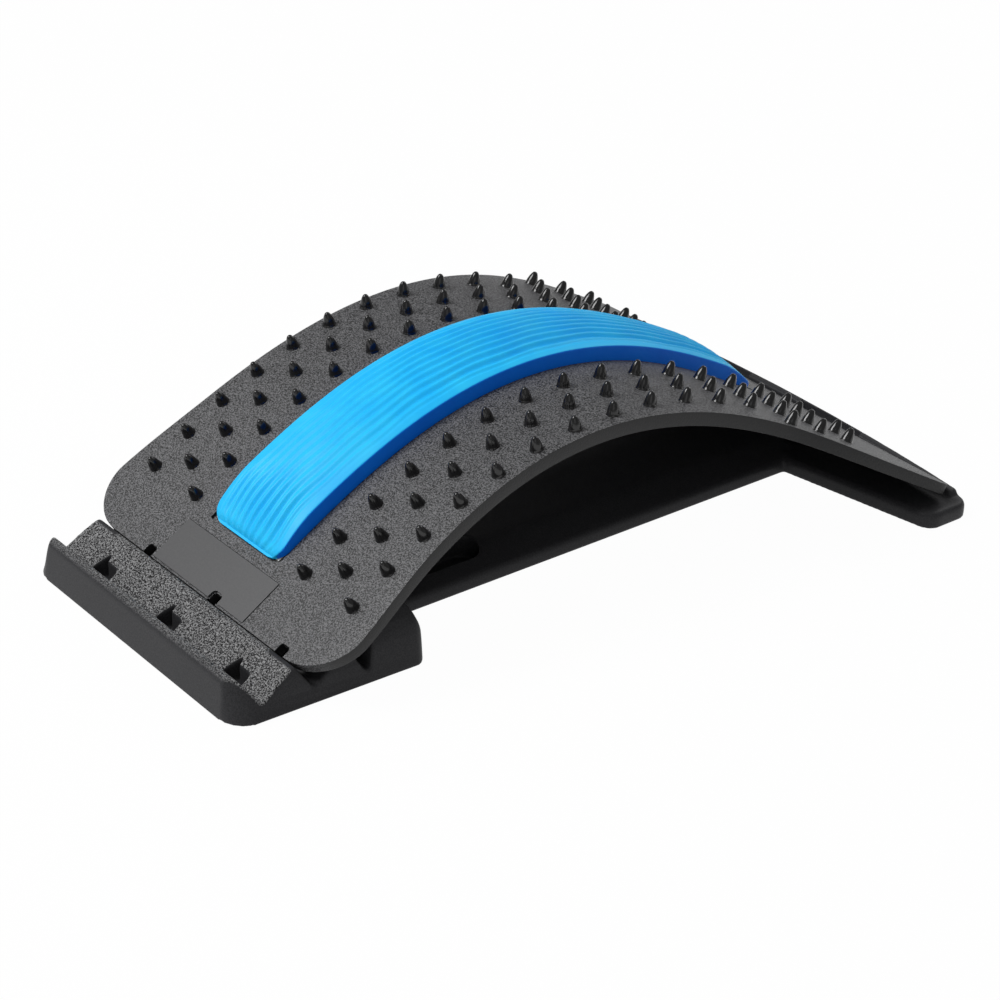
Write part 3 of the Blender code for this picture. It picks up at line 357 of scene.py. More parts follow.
def corner_shares(turn):
    """Places of a rounded corner's points, as shares of its radius, closer together at the end."""
    return [1.0 - math.cos(math.radians(angle)) for angle in range(0, RIGHT_ANGLE, turn)]


def sheet(stations, columns, low, high, side_of):
    """Closed sheet between two lifts. side_of gives the x of each column at a station."""
    builder = bmesh.new()
    rows = len(stations)
    bmesh.ops.create_grid(builder, x_segments=columns - 1, y_segments=rows - 1, size=0.5)
    for vertex in builder.verts:
        column = round((vertex.co.x + 0.5) * (columns - 1))
        row = round((vertex.co.y + 0.5) * (rows - 1))
        station = stations[row]
        vertex.co = (side_of(column, station), station, high)
    lowered = bmesh.ops.extrude_face_region(builder, geom=list(builder.faces))
    for item in lowered["geom"]:
        if isinstance(item, bmesh.types.BMVert):
            item.co.z = low
    bmesh.ops.recalc_face_normals(builder, faces=builder.faces)
    return builder


def slab(x_low, x_high, first, last, low, high, points=2):
    """Flat slab between two stations, with this many points along each edge."""
    return mesh_from(sheet(even(first, last, points - 1), 2, low, high,
                           lambda column, station: x_high if column else x_low), "slab")


def fillet(corners, steps):
    """Outline whose corners (x, y, radius) are rounded with an arc of a few steps."""
    outline = []
    count = len(corners)
    for index, (x, y, radius) in enumerate(corners):
        here = Vector((x, y))
        if radius <= 0.0:
            outline.append(here)
            continue
        before = (Vector(corners[index - 1][:2]) - here).normalized()
        after = (Vector(corners[(index + 1) % count][:2]) - here).normalized()
        half = before.angle(after) / 2
        reach = radius / math.tan(half)
        centre = here + (before + after).normalized() * (radius / math.sin(half))
        first = here + before * reach - centre
        last = here + after * reach - centre
        sweep = first.angle_signed(last)
        for step in range(steps + 1):
            outline.append(centre + Matrix.Rotation(-sweep * step / steps, 2) @ first)
    return outline


def prism(outline, low, high):
    """Solid from a flat outline, between two heights."""
    builder = bmesh.new()
    floor = [builder.verts.new((place[0], place[1], low)) for place in outline]
    roof = [builder.verts.new((place[0], place[1], high)) for place in outline]
    builder.faces.new(floor)
    builder.faces.new(roof)
    for index in range(len(outline)):
        builder.faces.new((floor[index - 1], floor[index], roof[index], roof[index - 1]))
    bmesh.ops.recalc_face_normals(builder, faces=builder.faces)
    return mesh_from(builder, "prism")


def curve_through(points, place):
    """Height at a place on the smooth curve through (place, height) points."""
    last = len(points) - 2
    index = 0
    while index < last and place > points[index + 1][0]:
        index += 1
    (x0, y0), (x1, y1) = points[index], points[index + 1]

    def steepness(number):
        if number <= 0 or number >= len(points) - 1:
            return 0.0
        before, after = points[number - 1], points[number + 1]
        return (after[1] - before[1]) / (after[0] - before[0])

    span = x1 - x0
    share = min(max((place - x0) / span, 0.0), 1.0)
    rest = 1.0 - share
    return (y0 * rest * rest * (1 + 2 * share) + y1 * share * share * (1 + 2 * rest)
            + span * share * rest * (steepness(index) * rest - steepness(index + 1) * share))


def corner_cut(distance, radius):
    """How far a rounded corner draws the side in, at a distance from the end."""
    if distance >= radius:
        return 0.0
    return radius - math.sqrt(max(radius ** 2 - (radius - distance) ** 2, 0.0))


def held(name, content):
    """Object in the scene that holds a mesh, a lamp or a lens."""
    holder = bpy.data.objects.new(name, content)
    bpy.context.scene.collection.objects.link(holder)
    return holder


def applied(holder):
    """Mesh of an object with its modifiers applied. The object is removed."""
    graph = bpy.context.evaluated_depsgraph_get()
    result = bpy.data.meshes.new_from_object(holder.evaluated_get(graph))
    bpy.data.objects.remove(holder)
    return result


def turned(profile, sides):
    """Solid turned about Z from a profile of (radius, height), from top to bottom."""
    mesh = bpy.data.meshes.new("profile")
    mesh.from_pydata([(radius, 0.0, height) for radius, height in profile],
                     [(index, index + 1) for index in range(len(profile) - 1)], [])
    holder = held("profile", mesh)
    screw = holder.modifiers.new("turn", 'SCREW')
    screw.steps = screw.render_steps = sides
    screw.use_merge_vertices = True
    screw.merge_threshold = TOLERANCE
    result = applied(holder)
    bpy.data.meshes.remove(mesh)
    return result


def cut(mesh, cutters, operation='DIFFERENCE'):
    """Mesh after a Boolean with each cutter mesh in turn."""
    target = held("target", mesh)
    tools = [held("tool", cutter) for cutter in cutters]
    for tool in tools:
        modifier = target.modifiers.new("cut", 'BOOLEAN')
        modifier.operation = operation
        modifier.solver = 'EXACT'
        modifier.object = tool
    result = applied(target)
    for tool in tools:
        bpy.data.objects.remove(tool)
    return result


def add_piece(name, mesh, material, body, smooth):
    """Piece of the visual model, shaded smooth up to an angle, that moves with a body."""
    mesh.name = name
    mesh.materials.clear()
    mesh.materials.append(material)
    mesh.shade_smooth()
    mesh.set_sharp_from_angle(angle=math.radians(smooth))
    piece = held(name, mesh)
    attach(piece, body)
    return piece


def placed_on_arch(template, places):
    """Copies of an upright solid, each square to the plate at its (x, station)."""
    builder = bmesh.new()
    for x, station in places:
        count = len(builder.verts)
        builder.from_mesh(template)
        builder.verts.ensure_lookup_table()
        matrix = (Matrix.Translation(arch_place(x, station, 0.0))
                  @ Matrix.Rotation(plate_slope(station), 4, 'X'))
        bmesh.ops.transform(builder, verts=builder.verts[count:], matrix=matrix)
    bpy.data.meshes.remove(template)
    return mesh_from(builder, "copies")


# Material helpers

def linear(code):
    """Linear colour with alpha of an sRGB hex value, by the sRGB formula."""
    values = [int(code[start:start + 2], 16) / 255 for start in (1, 3, 5)]
    return tuple(value / 12.92 if value <= 0.04045 else ((value + 0.055) / 1.055) ** 2.4
                 for value in values) + (1.0,)


def add_node(tree, kind, inputs=None, **settings):
    """Adds a node with its settings. Each input given is a link, a number or a hex colour."""
    node = tree.nodes.new(kind)
    for name, value in settings.items():
        setattr(node, name, value)
    for name, value in (inputs or {}).items():
        if isinstance(value, bpy.types.NodeSocket):
            tree.links.new(value, node.inputs[name])
        else:
            node.inputs[name].default_value = linear(value) if isinstance(value, str) else value
    return node


def new_material(name, **levels):
    """Material with a Principled shader. A level is the same all over, so it is set on its socket."""
    material = bpy.data.materials.new(name)
    material.use_nodes = True
    shader = material.node_tree.nodes["Principled BSDF"]
    for level, value in levels.items():
        shader.inputs[level.replace("_", " ")].default_value = value
    return material, material.node_tree, shader


def speckle(tree, width, low, high):
    """Noise with features about this wide, spread so that low to high runs from 0 to 1."""
    place = add_node(tree, "ShaderNodeTexCoord").outputs["Object"]
    noise = add_node(tree, "ShaderNodeTexNoise", {"Vector": place, "Scale": NOISE_WIDTH / width,
                                                  "Detail": NOISE_DETAIL, "Roughness": NOISE_ROUGHNESS})
    spread = add_node(tree, "ShaderNodeMapRange", {"Value": noise.outputs["Fac"],
                                                   "From Min": low, "From Max": high})
    return spread.outputs["Result"]


def past_steps(tree, steps):
    """Share that is 1 where each value is past its step from low to high, and 0 where one isn't."""
    share = 1.0
    for value, low, high in steps:
        step = add_node(tree, "ShaderNodeMapRange", {"Value": value, "From Min": low, "From Max": high})
        both = {0: share, 1: step.outputs["Result"]}
        share = add_node(tree, "ShaderNodeMath", both, operation='MULTIPLY').outputs[0]
    return share


def fine_grain(name, dark, light, width, depth, roughness):
    """Even surface with one shallow grain, a shade lighter where the grain stands up."""
    material, tree, shader = new_material(name, Roughness=roughness, IOR=POLYMER_IOR)
    grain = speckle(tree, width, low=0.36, high=0.64)
    colour = add_node(tree, "ShaderNodeMix", {"Factor": grain, MIX_FIRST: dark, MIX_SECOND: light},
                      data_type='RGBA')
    bump = add_node(tree, "ShaderNodeBump", {"Height": grain, "Distance": depth, "Strength": 1.0})
    tree.links.new(colour.outputs[MIX_RESULT], shader.inputs["Base Color"])
    tree.links.new(bump.outputs["Normal"], shader.inputs["Normal"])
    return material


# Materials

def polished_abs():
    """ABS of the studs and hooks, from polished hollows in the mould.

    They leave it almost smooth: near black, with small sharp glints. The mould's polishing marks are
    too fine to show, so they are drawn as faint waves 0.6 mm wide.
    """
    return fine_grain("gloss_abs", "#0E0E0F", "#131314",
                      width=0.6 * MM, depth=0.003 * MM, roughness=0.16)


def spark_eroded_abs():
    """ABS of the plate, from a mould whose faces are spark eroded and whose sides are polished.

    The faces get grey grains that catch the light. The sides are even, and their darker grey is
    painted shade. The real grain, about 0.1 mm wide, is too fine to show, so it is drawn about three
    times as wide.
    """
    material, tree, shader = new_material("spark_eroded_abs", Roughness=0.5, IOR=POLYMER_IOR,
                                          Specular_IOR_Level=0.35)
    grain = speckle(tree, width=0.34 * MM, low=0.4, high=0.62)
    normal = add_node(tree, "ShaderNodeNewGeometry").outputs["Normal"]
    across = add_node(tree, "ShaderNodeSeparateXYZ", {"Vector": normal}).outputs["X"]
    across = add_node(tree, "ShaderNodeMath", {0: across}, operation='ABSOLUTE').outputs[0]
    side = past_steps(tree, ((across, *SIDE_TURN),))
    face = add_node(tree, "ShaderNodeMix", {"Factor": grain, MIX_FIRST: "#161617",
                                            MIX_SECOND: "#727274"}, data_type='RGBA')
    # The sides' darker grey, #1C1C1D, is painted shade
    colour = add_node(tree, "ShaderNodeMix", {"Factor": side, MIX_FIRST: face.outputs[MIX_RESULT],
                                              MIX_SECOND: "#1C1C1D"}, data_type='RGBA')
    bump = add_node(tree, "ShaderNodeBump", {"Height": grain, "Distance": 0.05 * MM, "Strength": 1.0})
    tree.links.new(colour.outputs[MIX_RESULT], shader.inputs["Base Color"])
    tree.links.new(bump.outputs["Normal"], shader.inputs["Normal"])
    return material


def ramp_share(tree):
    """Share that is 1 on the rack's ramps, where they face up, and 0 elsewhere and at the groove ends,
    which are left in the dark satin as painted shade.
    """
    place = add_node(tree, "ShaderNodeTexCoord").outputs["Object"]
    axes = add_node(tree, "ShaderNodeSeparateXYZ", {"Vector": place}).outputs
    normal = add_node(tree, "ShaderNodeNewGeometry").outputs["Normal"]
    up = add_node(tree, "ShaderNodeSeparateXYZ", {"Vector": normal}).outputs["Z"]
    across = add_node(tree, "ShaderNodeMath", {0: axes["X"]}, operation='ABSOLUTE').outputs[0]
    ramps = past_steps(tree, ((axes["Y"], RACK_START, RACK_START + RACK_START_FADE),
                              (axes["Y"], RACK_END + RACK_FADE, RACK_END),
                              (axes["Z"], RACK_FLOOR, RACK_FLOOR + RACK_FADE),
                              (up, *RAMP_TURN)))
    # The ends of the grooves are painted shade: the grain is taken off there, so the dark satin shows
    groove_end_shade = past_steps(tree, ((across, GROOVE_SHADE_SIDE, GROOVE_SHADE_SIDE + RACK_FADE),
                                    (axes["Y"], GROOVE_SHADE_START, GROOVE_SHADE_START + RACK_FADE)))
    return add_node(tree, "ShaderNodeMath", {0: ramps, 1: groove_end_shade}, operation='SUBTRACT',
                    use_clamp=True).outputs[0]


def satin_abs():
    """ABS of the base, from a finely blasted mould that is deeply spark eroded at the rack's ramps.

    The blasting leaves a dark satin, and the erosion a coarse sparkle of pale and black grains. Both
    grains, about 0.1 mm wide, are too fine to show, so they are drawn about three times as wide.
    """
    material, tree, shader = new_material("satin_abs", IOR=POLYMER_IOR, Specular_IOR_Level=0.15)
    ramp = ramp_share(tree)
    fine = speckle(tree, width=0.3 * MM, low=0.38, high=0.62)
    coarse = speckle(tree, width=0.34 * MM, low=0.43, high=0.61)
    satin = add_node(tree, "ShaderNodeMix", {"Factor": fine, MIX_FIRST: "#2C2C2E",
                                             MIX_SECOND: "#38383A"}, data_type='RGBA')
    sparkle = add_node(tree, "ShaderNodeMix", {"Factor": coarse, MIX_FIRST: "#0C0C0D",
                                               MIX_SECOND: "#989899"}, data_type='RGBA')
    # Where the ramp share is taken off at the groove ends, the dark satin is painted shade
    colour = add_node(tree, "ShaderNodeMix", {"Factor": ramp, MIX_FIRST: satin.outputs[MIX_RESULT],
                                              MIX_SECOND: sparkle.outputs[MIX_RESULT]}, data_type='RGBA')
    height = add_node(tree, "ShaderNodeMath", {0: ramp, 1: coarse}, operation='MULTIPLY').outputs[0]
    bump = add_node(tree, "ShaderNodeBump", {"Height": height, "Distance": 0.12 * MM, "Strength": 1.0})
    bump = add_node(tree, "ShaderNodeBump", {"Height": fine, "Distance": 0.006 * MM, "Strength": 1.0,
                                             "Normal": bump.outputs["Normal"]})
    rough = add_node(tree, "ShaderNodeMapRange", {"Value": ramp, "To Min": 0.45, "To Max": 0.6})
    tree.links.new(colour.outputs[MIX_RESULT], shader.inputs["Base Color"])
    tree.links.new(bump.outputs["Normal"], shader.inputs["Normal"])
    tree.links.new(rough.outputs["Result"], shader.inputs["Roughness"])
    return material


def eva_foam(name, colour, light):
    """EVA foam of the pad, pressed hot in a ribbed mould, which gives it a skin, and cut at its sides.

    The skin is an even blue with a faint wide mottle and a soft sheen. Made in a deeper blue, the
    same foam is painted shade for the sides. The foam's cells are too fine to show, so their bump is
    drawn 0.5 mm wide.
    """
    material, tree, shader = new_material(name, Roughness=0.45, Specular_IOR_Level=0.25)
    mottle = speckle(tree, width=9.0 * MM, low=0.3, high=0.7)
    cells = speckle(tree, width=0.5 * MM, low=0.3, high=0.7)
    blue = add_node(tree, "ShaderNodeMix", {"Factor": mottle, MIX_FIRST: colour, MIX_SECOND: light},
                    data_type='RGBA')
    bump = add_node(tree, "ShaderNodeBump", {"Height": cells, "Distance": 0.012 * MM, "Strength": 1.0})
    tree.links.new(blue.outputs[MIX_RESULT], shader.inputs["Base Color"])
    tree.links.new(bump.outputs["Normal"], shader.inputs["Normal"])
    return material


def label_film():
    """Polyester film of the label, coated matt, which leaves a flat dark grey.

    The coating's grain is too fine to show, so it is drawn 0.4 mm wide.
    """
    return fine_grain("label_film", "#424244", "#484849",
                      width=0.4 * MM, depth=0.003 * MM, roughness=0.42)


def adhesive_film():
    """Acrylic film under the pad, cast on a liner, which leaves it pale, half glossy and a bit wavy."""
    return fine_grain("adhesive_film", "#C8C8C2", "#D2D2CC",
                      width=0.5 * MM, depth=0.004 * MM, roughness=0.4)


def foot_rubber():
    """Rubber of the foot pads, pressed in a blasted mould, which leaves it dull and almost black.

    The mould's grain is too fine to show, so it is drawn 0.5 mm wide.
    """
    return fine_grain("foot_rubber", "#141414", "#1A1A1A",
                      width=0.5 * MM, depth=0.02 * MM, roughness=0.8)


# Plate

def plate_half_width(station):
    """Half width of the plate: wide at the rack, drawn in at the waist, flared at the rail."""
    points = list(NEAR_OUTLINE) + [(PLATE_LENGTH - rest, half) for rest, half in FAR_OUTLINE]
    half = curve_through(points, station)
    return half - corner_cut(station, NEAR_CORNER) - corner_cut(PLATE_LENGTH - station, FAR_CORNER)


def plate_blank():
    """Plate without its holes: fine rows along the arch, rounded rims above and below."""
    last = PLATE_LENGTH - FAR_CORNER
    stations = [NEAR_CORNER * share for share in corner_shares(PLATE_NEAR_TURN)]
    stations += even(NEAR_CORNER, last, PLATE_POINTS)
    stations += [last + FAR_CORNER * math.sin(math.radians(angle))
                 for angle in range(PLATE_FAR_TURN, RIGHT_ANGLE + 1, PLATE_FAR_TURN)]

    def side_of(column, station):
        return (2.0 * column / PLATE_COLUMNS - 1.0) * plate_half_width(station)

    builder = sheet(stations, PLATE_COLUMNS + 1, -PLATE_THICKNESS, 0.0, side_of)
    edges = [edge for edge in builder.edges
             if len(edge.link_faces) == 2 and edge.calc_face_angle() > SHARP_TURN
             and abs(edge.verts[0].co.z - edge.verts[1].co.z) < TOLERANCE]
    bmesh.ops.bevel(builder, geom=edges, offset=PLATE_EDGE_ROUNDING, segments=PLATE_EDGE_STEPS,
                    profile=0.5, affect='EDGES', clamp_overlap=True)
    for vertex in builder.verts:
        if vertex.co.z < -PLATE_THICKNESS / 2:
            share = min(max(vertex.co.y / PLATE_LENGTH, 0.0), 1.0)
            vertex.co.z -= PLATE_RIM_SWELL * math.sin(math.pi * share)
    return bent(mesh_from(builder, "plate"))


def wing_cell(side, start, finish, low):
    """Cell beside the middle column, whose outer side follows the rim of the plate."""

    def side_of(column, station):
        outer = plate_half_width(station) - PLATE_RIM
        return side * (outer if (column > 0) == (side > 0) else CELL_COLUMN + RIB_THICKNESS / 2)

    return mesh_from(sheet(even(start, finish, CELL_POINTS - 1), 2, low, -PLATE_SKIN, side_of), "cell")


def underside_cells():
    """Cells cut from below, which leave the rim and a grid of ribs standing."""
    cells = []
    low = -PLATE_THICKNESS - ABOVE
    rib = RIB_THICKNESS / 2
    inner = CELL_COLUMN - rib
    lines = even(CELL_START, PLATE_LENGTH - CELL_REST, CELL_ROWS)
    for line, next_line in zip(lines, lines[1:]):
        start, finish = line + rib, next_line - rib
        cells.append(slab(-inner, inner, start, finish, low, -PLATE_SKIN - CELL_STEP, CELL_POINTS))
        for side in (-1, 1):
            cells.append(wing_cell(side, start, finish, low))
    return bent(join_meshes(cells, "cells"))


def notches(margin):
    """Round cornered cutters for the notches in the near end, larger by a margin."""
    cutters = []
    half = NOTCH_WIDTH / 2 + margin
    depth = NOTCH_DEPTH + margin
    corner = NOTCH_CORNER + margin
    for x in NOTCH_PLACES:
        plan = fillet([(x - half, -ABOVE, 0.0), (x + half, -ABOVE, 0.0),
                       (x + half, depth, corner), (x - half, depth, corner)], NOTCH_ARC_STEPS)
        cutters.append(bent(prism(plan, -PLATE_THICKNESS - ABOVE, ABOVE)))
    return join_meshes(cutters, "notches")


def make_plate(material):
    """Plate with its cells, notches, tongues and the recesses for the pad and the label."""
    half = PAD_WIDTH / 2 + PAD_SIDE_GAP
    pad_recess = bent(slab(-half, half, PAD_START - PAD_SIDE_GAP, PAD_END + PAD_SIDE_GAP,
                           -PAD_RECESS_DEPTH, ABOVE, PAD_RECESS_POINTS))
    half = LABEL_WIDTH / 2 + LABEL_GAP
    label_recess = bent(slab(-half, half, LABEL_START - LABEL_GAP,
                             LABEL_START + LABEL_LENGTH + LABEL_GAP,
                             -LABEL_RECESS_DEPTH, ABOVE, LABEL_POINTS))
    mesh = cut(plate_blank(), [underside_cells(), pad_recess, label_recess, notches(0.0)])
    low = -(PLATE_THICKNESS + TONGUE_THICKNESS) / 2
    half = TONGUE_WIDTH / 2
    tongues = [bent(slab(side * TONGUE_SPACING - half, side * TONGUE_SPACING + half,
                         PLATE_LENGTH - PLATE_THICKNESS, PLATE_LENGTH + TONGUE_REACH,
                         low, low + TONGUE_THICKNESS)) for side in (-1, 1)]
    mesh = cut(mesh, [join_meshes(tongues, "tongues")], 'UNION')
    plate = add_piece("plate_shell", mesh, material, "arch", PLATE_SMOOTH)
    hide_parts("arch_plate")


def make_hooks(material):
    """Flat hooks under the near end of the plate, with rounded lower edges."""
    half = HOOK_WIDTH / 2
    top = -PLATE_THICKNESS / 2
    hooks = []
    for x in HOOK_PLACES:
        face = fillet([(x - half, top, 0.0), (x - half, -HOOK_DROP, HOOK_CORNER),
                       (x + half, -HOOK_DROP, HOOK_CORNER), (x + half, top, 0.0)], HOOK_ARC_STEPS)
        mesh = prism(face, HOOK_SETBACK, HOOK_SETBACK + HOOK_THICKNESS)
        for vertex in mesh.vertices:
            vertex.co = (vertex.co.x, vertex.co.z, vertex.co.y)
        mesh.flip_normals()
        builder = bmesh.new()
        builder.from_mesh(mesh)
        bpy.data.meshes.remove(mesh)
        edges = [edge for edge in builder.edges if edge.calc_face_angle() > SHARP_TURN]
        bmesh.ops.bevel(builder, geom=edges, offset=HOOK_EDGE_ROUNDING, segments=HOOK_EDGE_STEPS,
                        profile=0.5, affect='EDGES')
        hooks.append(bent(mesh_from(builder, "hook")))
    add_piece("plate_hooks", join_meshes(hooks, "hooks"), material, "arch", EDGE_SMOOTH)


def stud_places():
    """Columns of studs on each side, every second one shifted by half a pitch.

    A few more studs stand outside them at the far end, where the plate is wider.
    """
    places = []
    for side in (-1, 1):
        for column in range(STUD_COLUMNS):
            shift = 0.5 * (column % 2)
            for row in range(STUD_ROWS - column % 2):
                places.append((side * (STUD_INNER + column * STUD_STEP), row + shift))
        outer = STUD_INNER + STUD_COLUMNS * STUD_STEP
        last_shifted = STUD_ROWS - 1 - 0.5
        for row in range(EXTRA_STUDS):
            places.append((side * outer, last_shifted - row))
    return [(x, STUD_START + row * STUD_PITCH) for x, row in places]


def make_studs(material):
    """Pointed studs, each with a small flare where it meets the plate."""
    profile = [(radius * MM, height * MM) for radius, height in STUD_PROFILE]
    foot = profile[-1][0] + STUD_FLARE
    profile += [(foot - STUD_FLARE_DIP * STUD_FLARE, STUD_FLARE_HEIGHT), (foot, 0.0),
                (foot, -STUD_ROOT), (0.0, -STUD_ROOT)]
    add_piece("massage_studs", placed_on_arch(turned(profile, STUD_SIDES), stud_places()),
              material, "arch", ROUND_SMOOTH)


# Pad and label

def pad_end_distance(station):
    """Distance from the nearer end of the pad."""
    return min(station - PAD_START, PAD_END - station)


def pad_ribs(x, station):
    """Soft lengthwise ribs that wander a little, faint on the near flank and strong beyond it."""
    run = station - PAD_START
    depth = curve_through(PAD_RIB_DEPTHS, run)
    wander = (RIB_WANDER * math.sin(run / RIB_WANDER_RUN)
              + RIB_RIPPLE * math.sin(run / RIB_RIPPLE_RUN + x / RIB_RIPPLE_WIDTH))
    ribbed = PAD_WIDTH - 2 * PAD_BAND
    share = (x + wander) / ribbed + 0.5
    edge = min(max(min(share, 1.0 - share) * PAD_RIBS * 2, 0.0), 1.0)
    return -depth * edge * (0.5 + 0.5 * math.cos(2 * math.pi * PAD_RIBS * share))


def pad_height(x, station):
    """Top of the pad: a low crown between crisp sides, drawn down to a thin lip at the ends."""
    half = PAD_WIDTH / 2
    away = pad_end_distance(station)
    rise = PAD_END_HEIGHT / PAD_CROWN
    run = min(away / PAD_END_RUN, 1.0)
    fullness = rise + (1.0 - rise) * math.sin(math.pi / 2 * run)
    crown = PAD_SIDE_HEIGHT + (PAD_CROWN - PAD_SIDE_HEIGHT) * (1.0 - (abs(x) / half) ** PAD_CROWN_POWER)
    inward = min((half - abs(x)) / PAD_EDGE_ROUNDING, 1.0)
    rounding = PAD_EDGE_ROUNDING * (1.0 - math.sqrt(max(1.0 - (1.0 - inward) ** 2, 0.0)))
    height = (crown + pad_ribs(x, station)) * fullness - rounding
    nose = min(max(away - PAD_LIP, 0.0) / PAD_NOSE, 1.0)
    return PAD_LIP_HEIGHT + (height - PAD_LIP_HEIGHT) * math.sqrt(1.0 - (1.0 - nose) ** 2)


def make_pad(skin, side_shade):
    """Foam pad, ribbed along its top, with its sides in a deeper blue that is painted shade."""
    half = PAD_WIDTH / 2
    shoulder = [-1.0 + PAD_EDGE_ROUNDING / half * share for share in corner_shares(PAD_EDGE_TURN)]
    inner = 1.0 - PAD_EDGE_ROUNDING / half
    columns = shoulder + even(-inner, inner, PAD_COLUMNS) + [-place for place in reversed(shoulder)]
    run = [PAD_CORNER * share for share in corner_shares(PAD_CORNER_TURN)]
    run += even(PAD_CORNER, PAD_END_RUN, PAD_END_POINTS)[:-1]
    stations = [PAD_START + place for place in run]
    stations += even(PAD_START + PAD_END_RUN, PAD_END - PAD_END_RUN, PAD_POINTS)
    stations += [PAD_END - place for place in reversed(run)]

    def half_width(station):
        return half - corner_cut(pad_end_distance(station), PAD_CORNER)

    def side_of(column, station):
        return columns[column] * half_width(station)

    # The top's points start high above the pad, which tells them from those of its bottom
    raised = 1.0
    builder = sheet(stations, len(columns), PAD_BOTTOM, raised, side_of)
    for vertex in builder.verts:
        if vertex.co.z == raised:
            across = vertex.co.x / half_width(vertex.co.y)
            vertex.co.z = pad_height(across * half, vertex.co.y)
    mesh = bent(mesh_from(builder, "pad"))
    pad = add_piece("pad_cushion", mesh, skin, "arch", EDGE_SMOOTH)
    # The sides take the deeper blue foam: painted shade
    pad.data.materials.append(side_shade)
    for face in pad.data.polygons:
        outside = abs(face.center.x) > half - PAD_BAND
        face.material_index = int(outside and abs(face.normal.x) > PAD_SHADE_TURN)
    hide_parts("ribbed_pad")


def make_label(material):
    """Bare label, cut out round the notches."""
    low = LABEL_GAP - LABEL_RECESS_DEPTH
    half = LABEL_WIDTH / 2
    mesh = bent(slab(-half, half, LABEL_START, LABEL_START + LABEL_LENGTH, low, low + LABEL_THICKNESS,
                     LABEL_POINTS))
    mesh = cut(mesh, [notches(NOTCH_MARGIN)])
    label = add_piece("bare_label", mesh, material, "arch", PLATE_SMOOTH)
    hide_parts("blank_label_plate")


# Base

def flared(place):
    """How much wider the near foot has grown at a place along it."""
    along = min(max((place + BASE_LENGTH / 2) / FOOT_LENGTH, 0.0), 1.0)
    return 1.0 + FOOT_FLARE * along / FOOT_HALF_WIDTH


def make_base(material):
    """Base moulding: the CAD form with every edge melted round, as moulded plastic is.

    The flare of the near foot is taken out before the remesh and put back after it, because
    sides that run at a small angle to the voxels come out in steps.
    """
    mesh = NODES["base_frame"].data.copy()
    for vertex in mesh.vertices:
        vertex.co.x /= flared(vertex.co.y)
    holder = held("base", mesh)
    remesh = holder.modifiers.new("melt", 'REMESH')
    remesh.mode = 'VOXEL'
    remesh.voxel_size = BASE_VOXEL
    smooth = holder.modifiers.new("soften", 'SMOOTH')
    smooth.factor = BASE_SOFTENING
    smooth.iterations = BASE_SOFTENING_ROUNDS
    thin = holder.modifiers.new("thin", 'DECIMATE')
    thin.ratio = BASE_KEEP
    melted = applied(holder)
    for vertex in melted.vertices:
        vertex.co.x *= flared(vertex.co.y)
    base = add_piece("base_shell", melted, material, "base", ROUND_SMOOTH)
    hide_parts("base_frame")


def give(name, material):
    """A CAD node keeps its shape and gets a finished material."""
    materials = NODES[name].data.materials
    materials.clear()
    materials.append(material)


# Floor, lights and camera

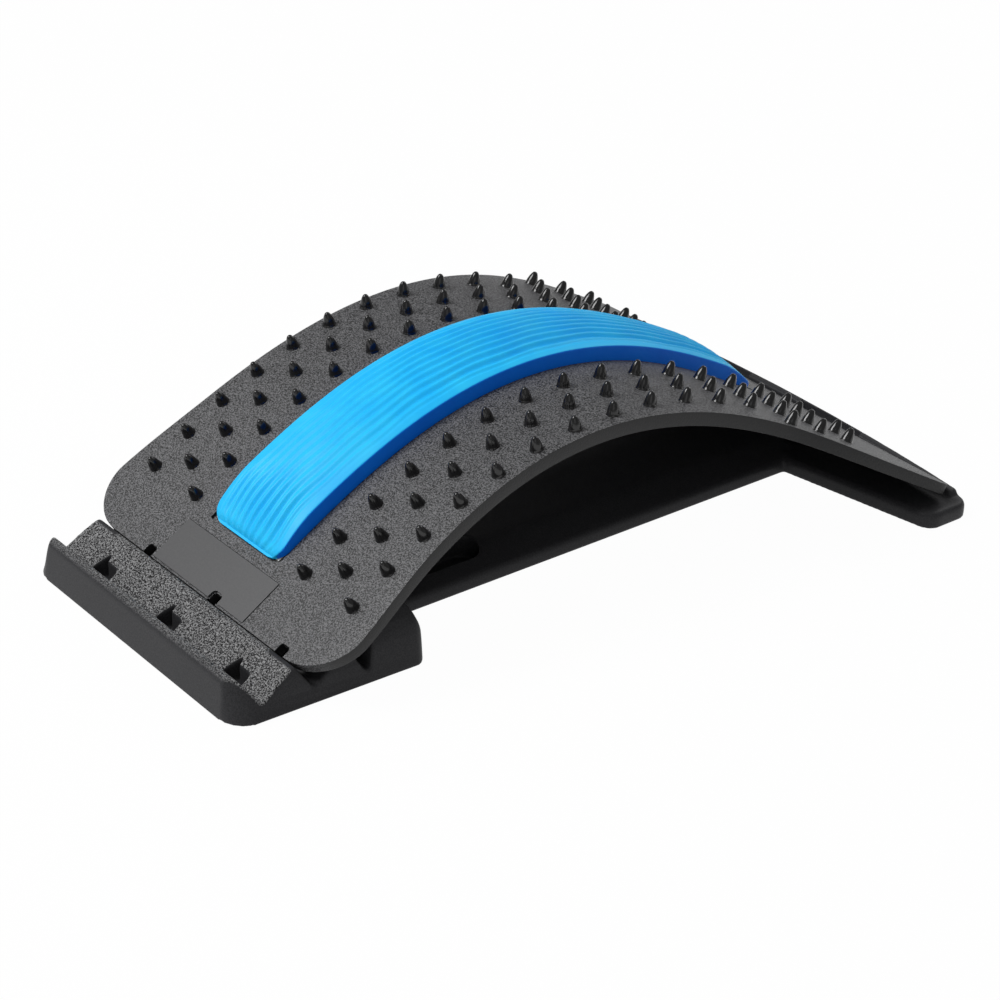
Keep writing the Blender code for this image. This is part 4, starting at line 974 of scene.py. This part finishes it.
def make_floor():
    """Uncoated paper, matt and pale. The camera and gloss see it as white with a trace of shadow."""
    corners = [(-1, -1), (1, -1), (1, 1), (-1, 1)]
    mesh = bpy.data.meshes.new("floor")
    mesh.from_pydata([(x * FLOOR_REACH, y * FLOOR_REACH, 0.0) for x, y in corners], [], [(0, 1, 2, 3)])
    material, tree, shader = new_material("pale_paper", Base_Color=linear("#E6E6E6"), Roughness=0.9)
    rays = add_node(tree, "ShaderNodeLightPath").outputs
    seen = add_node(tree, "ShaderNodeMath", {0: rays["Is Camera Ray"], 1: rays["Is Glossy Ray"]},
                    operation='MAXIMUM')
    seen = add_node(tree, "ShaderNodeMath", {0: seen.outputs[0], 1: rays["Is Transmission Ray"]},
                    operation='MAXIMUM')
    share = add_node(tree, "ShaderNodeMath", {0: seen.outputs[0], 1: FLOOR_WHITE}, operation='MULTIPLY')
    white = add_node(tree, "ShaderNodeEmission", {"Color": "#FFFFFF", "Strength": 1.0})
    mix = add_node(tree, "ShaderNodeMixShader", {0: share.outputs[0], 1: shader.outputs[0],
                                                 2: white.outputs[0]})
    tree.links.new(mix.outputs[0], tree.nodes["Material Output"].inputs["Surface"])
    mesh.materials.append(material)
    held("floor", mesh)


def add_softbox(name, place, width, power):
    """Square lamp that faces the object, its power in watts."""
    lamp = bpy.data.lights.new(name, 'AREA')
    lamp.shape = 'SQUARE'
    lamp.size = width
    lamp.energy = power
    holder = held(name, lamp)
    holder.location = place
    holder.rotation_euler = (LIGHT_TARGET - Vector(place)).to_track_quat('-Z', 'Y').to_euler()


def make_studio():
    """White surroundings, a key lamp at the camera's left, a weak fill beside it, a lamp far right."""
    world = bpy.data.worlds.new("studio")
    world.use_nodes = True
    sky = world.node_tree.nodes["Background"]
    sky.inputs["Color"].default_value = linear("#FFFFFF")
    sky.inputs["Strength"].default_value = SKY_STRENGTH
    bpy.context.scene.world = world
    add_softbox("key_softbox", place=(-0.55, -0.9, 1.3), width=0.8, power=20.0)
    add_softbox("fill_softbox", place=(1.3, -0.9, 0.7), width=0.9, power=1.2)
    add_softbox("rear_softbox", place=(-0.2, 1.3, 0.9), width=0.8, power=4.0)
    bpy.context.scene.view_settings.view_transform = 'Standard'


def make_camera():
    """Camera at the photograph's place, rolled, then tilted up from straight down, then turned."""
    lens = bpy.data.cameras.new("camera")
    lens.sensor_width = SENSOR_WIDTH
    lens.lens = CAMERA_LENS
    camera = held("camera", lens)
    camera.matrix_world = (Matrix.Translation(CAMERA_PLACE)
                           @ Matrix.Rotation(math.radians(CAMERA_HEADING), 4, 'Z')
                           @ Matrix.Rotation(math.radians(CAMERA_TILT), 4, 'X')
                           @ Matrix.Rotation(math.radians(CAMERA_ROLL), 4, 'Z'))
    bpy.context.scene.camera = camera


gloss = polished_abs()
make_plate(spark_eroded_abs())
make_hooks(gloss)
make_studs(gloss)
# The second foam, in a deeper blue, is painted shade for the pad's sides
make_pad(eva_foam("eva_foam", "#18BCFF", "#28C8FF"), eva_foam("eva_foam_painted_shade", "#0076FA", "#007EFF"))
make_label(label_film())
make_base(satin_abs())
give("pad_adhesive_film", adhesive_film())
rubber = foot_rubber()
for node in NODES:
    if node.startswith("foot_pad"):
        give(node, rubber)
make_floor()
make_studio()
make_camera()
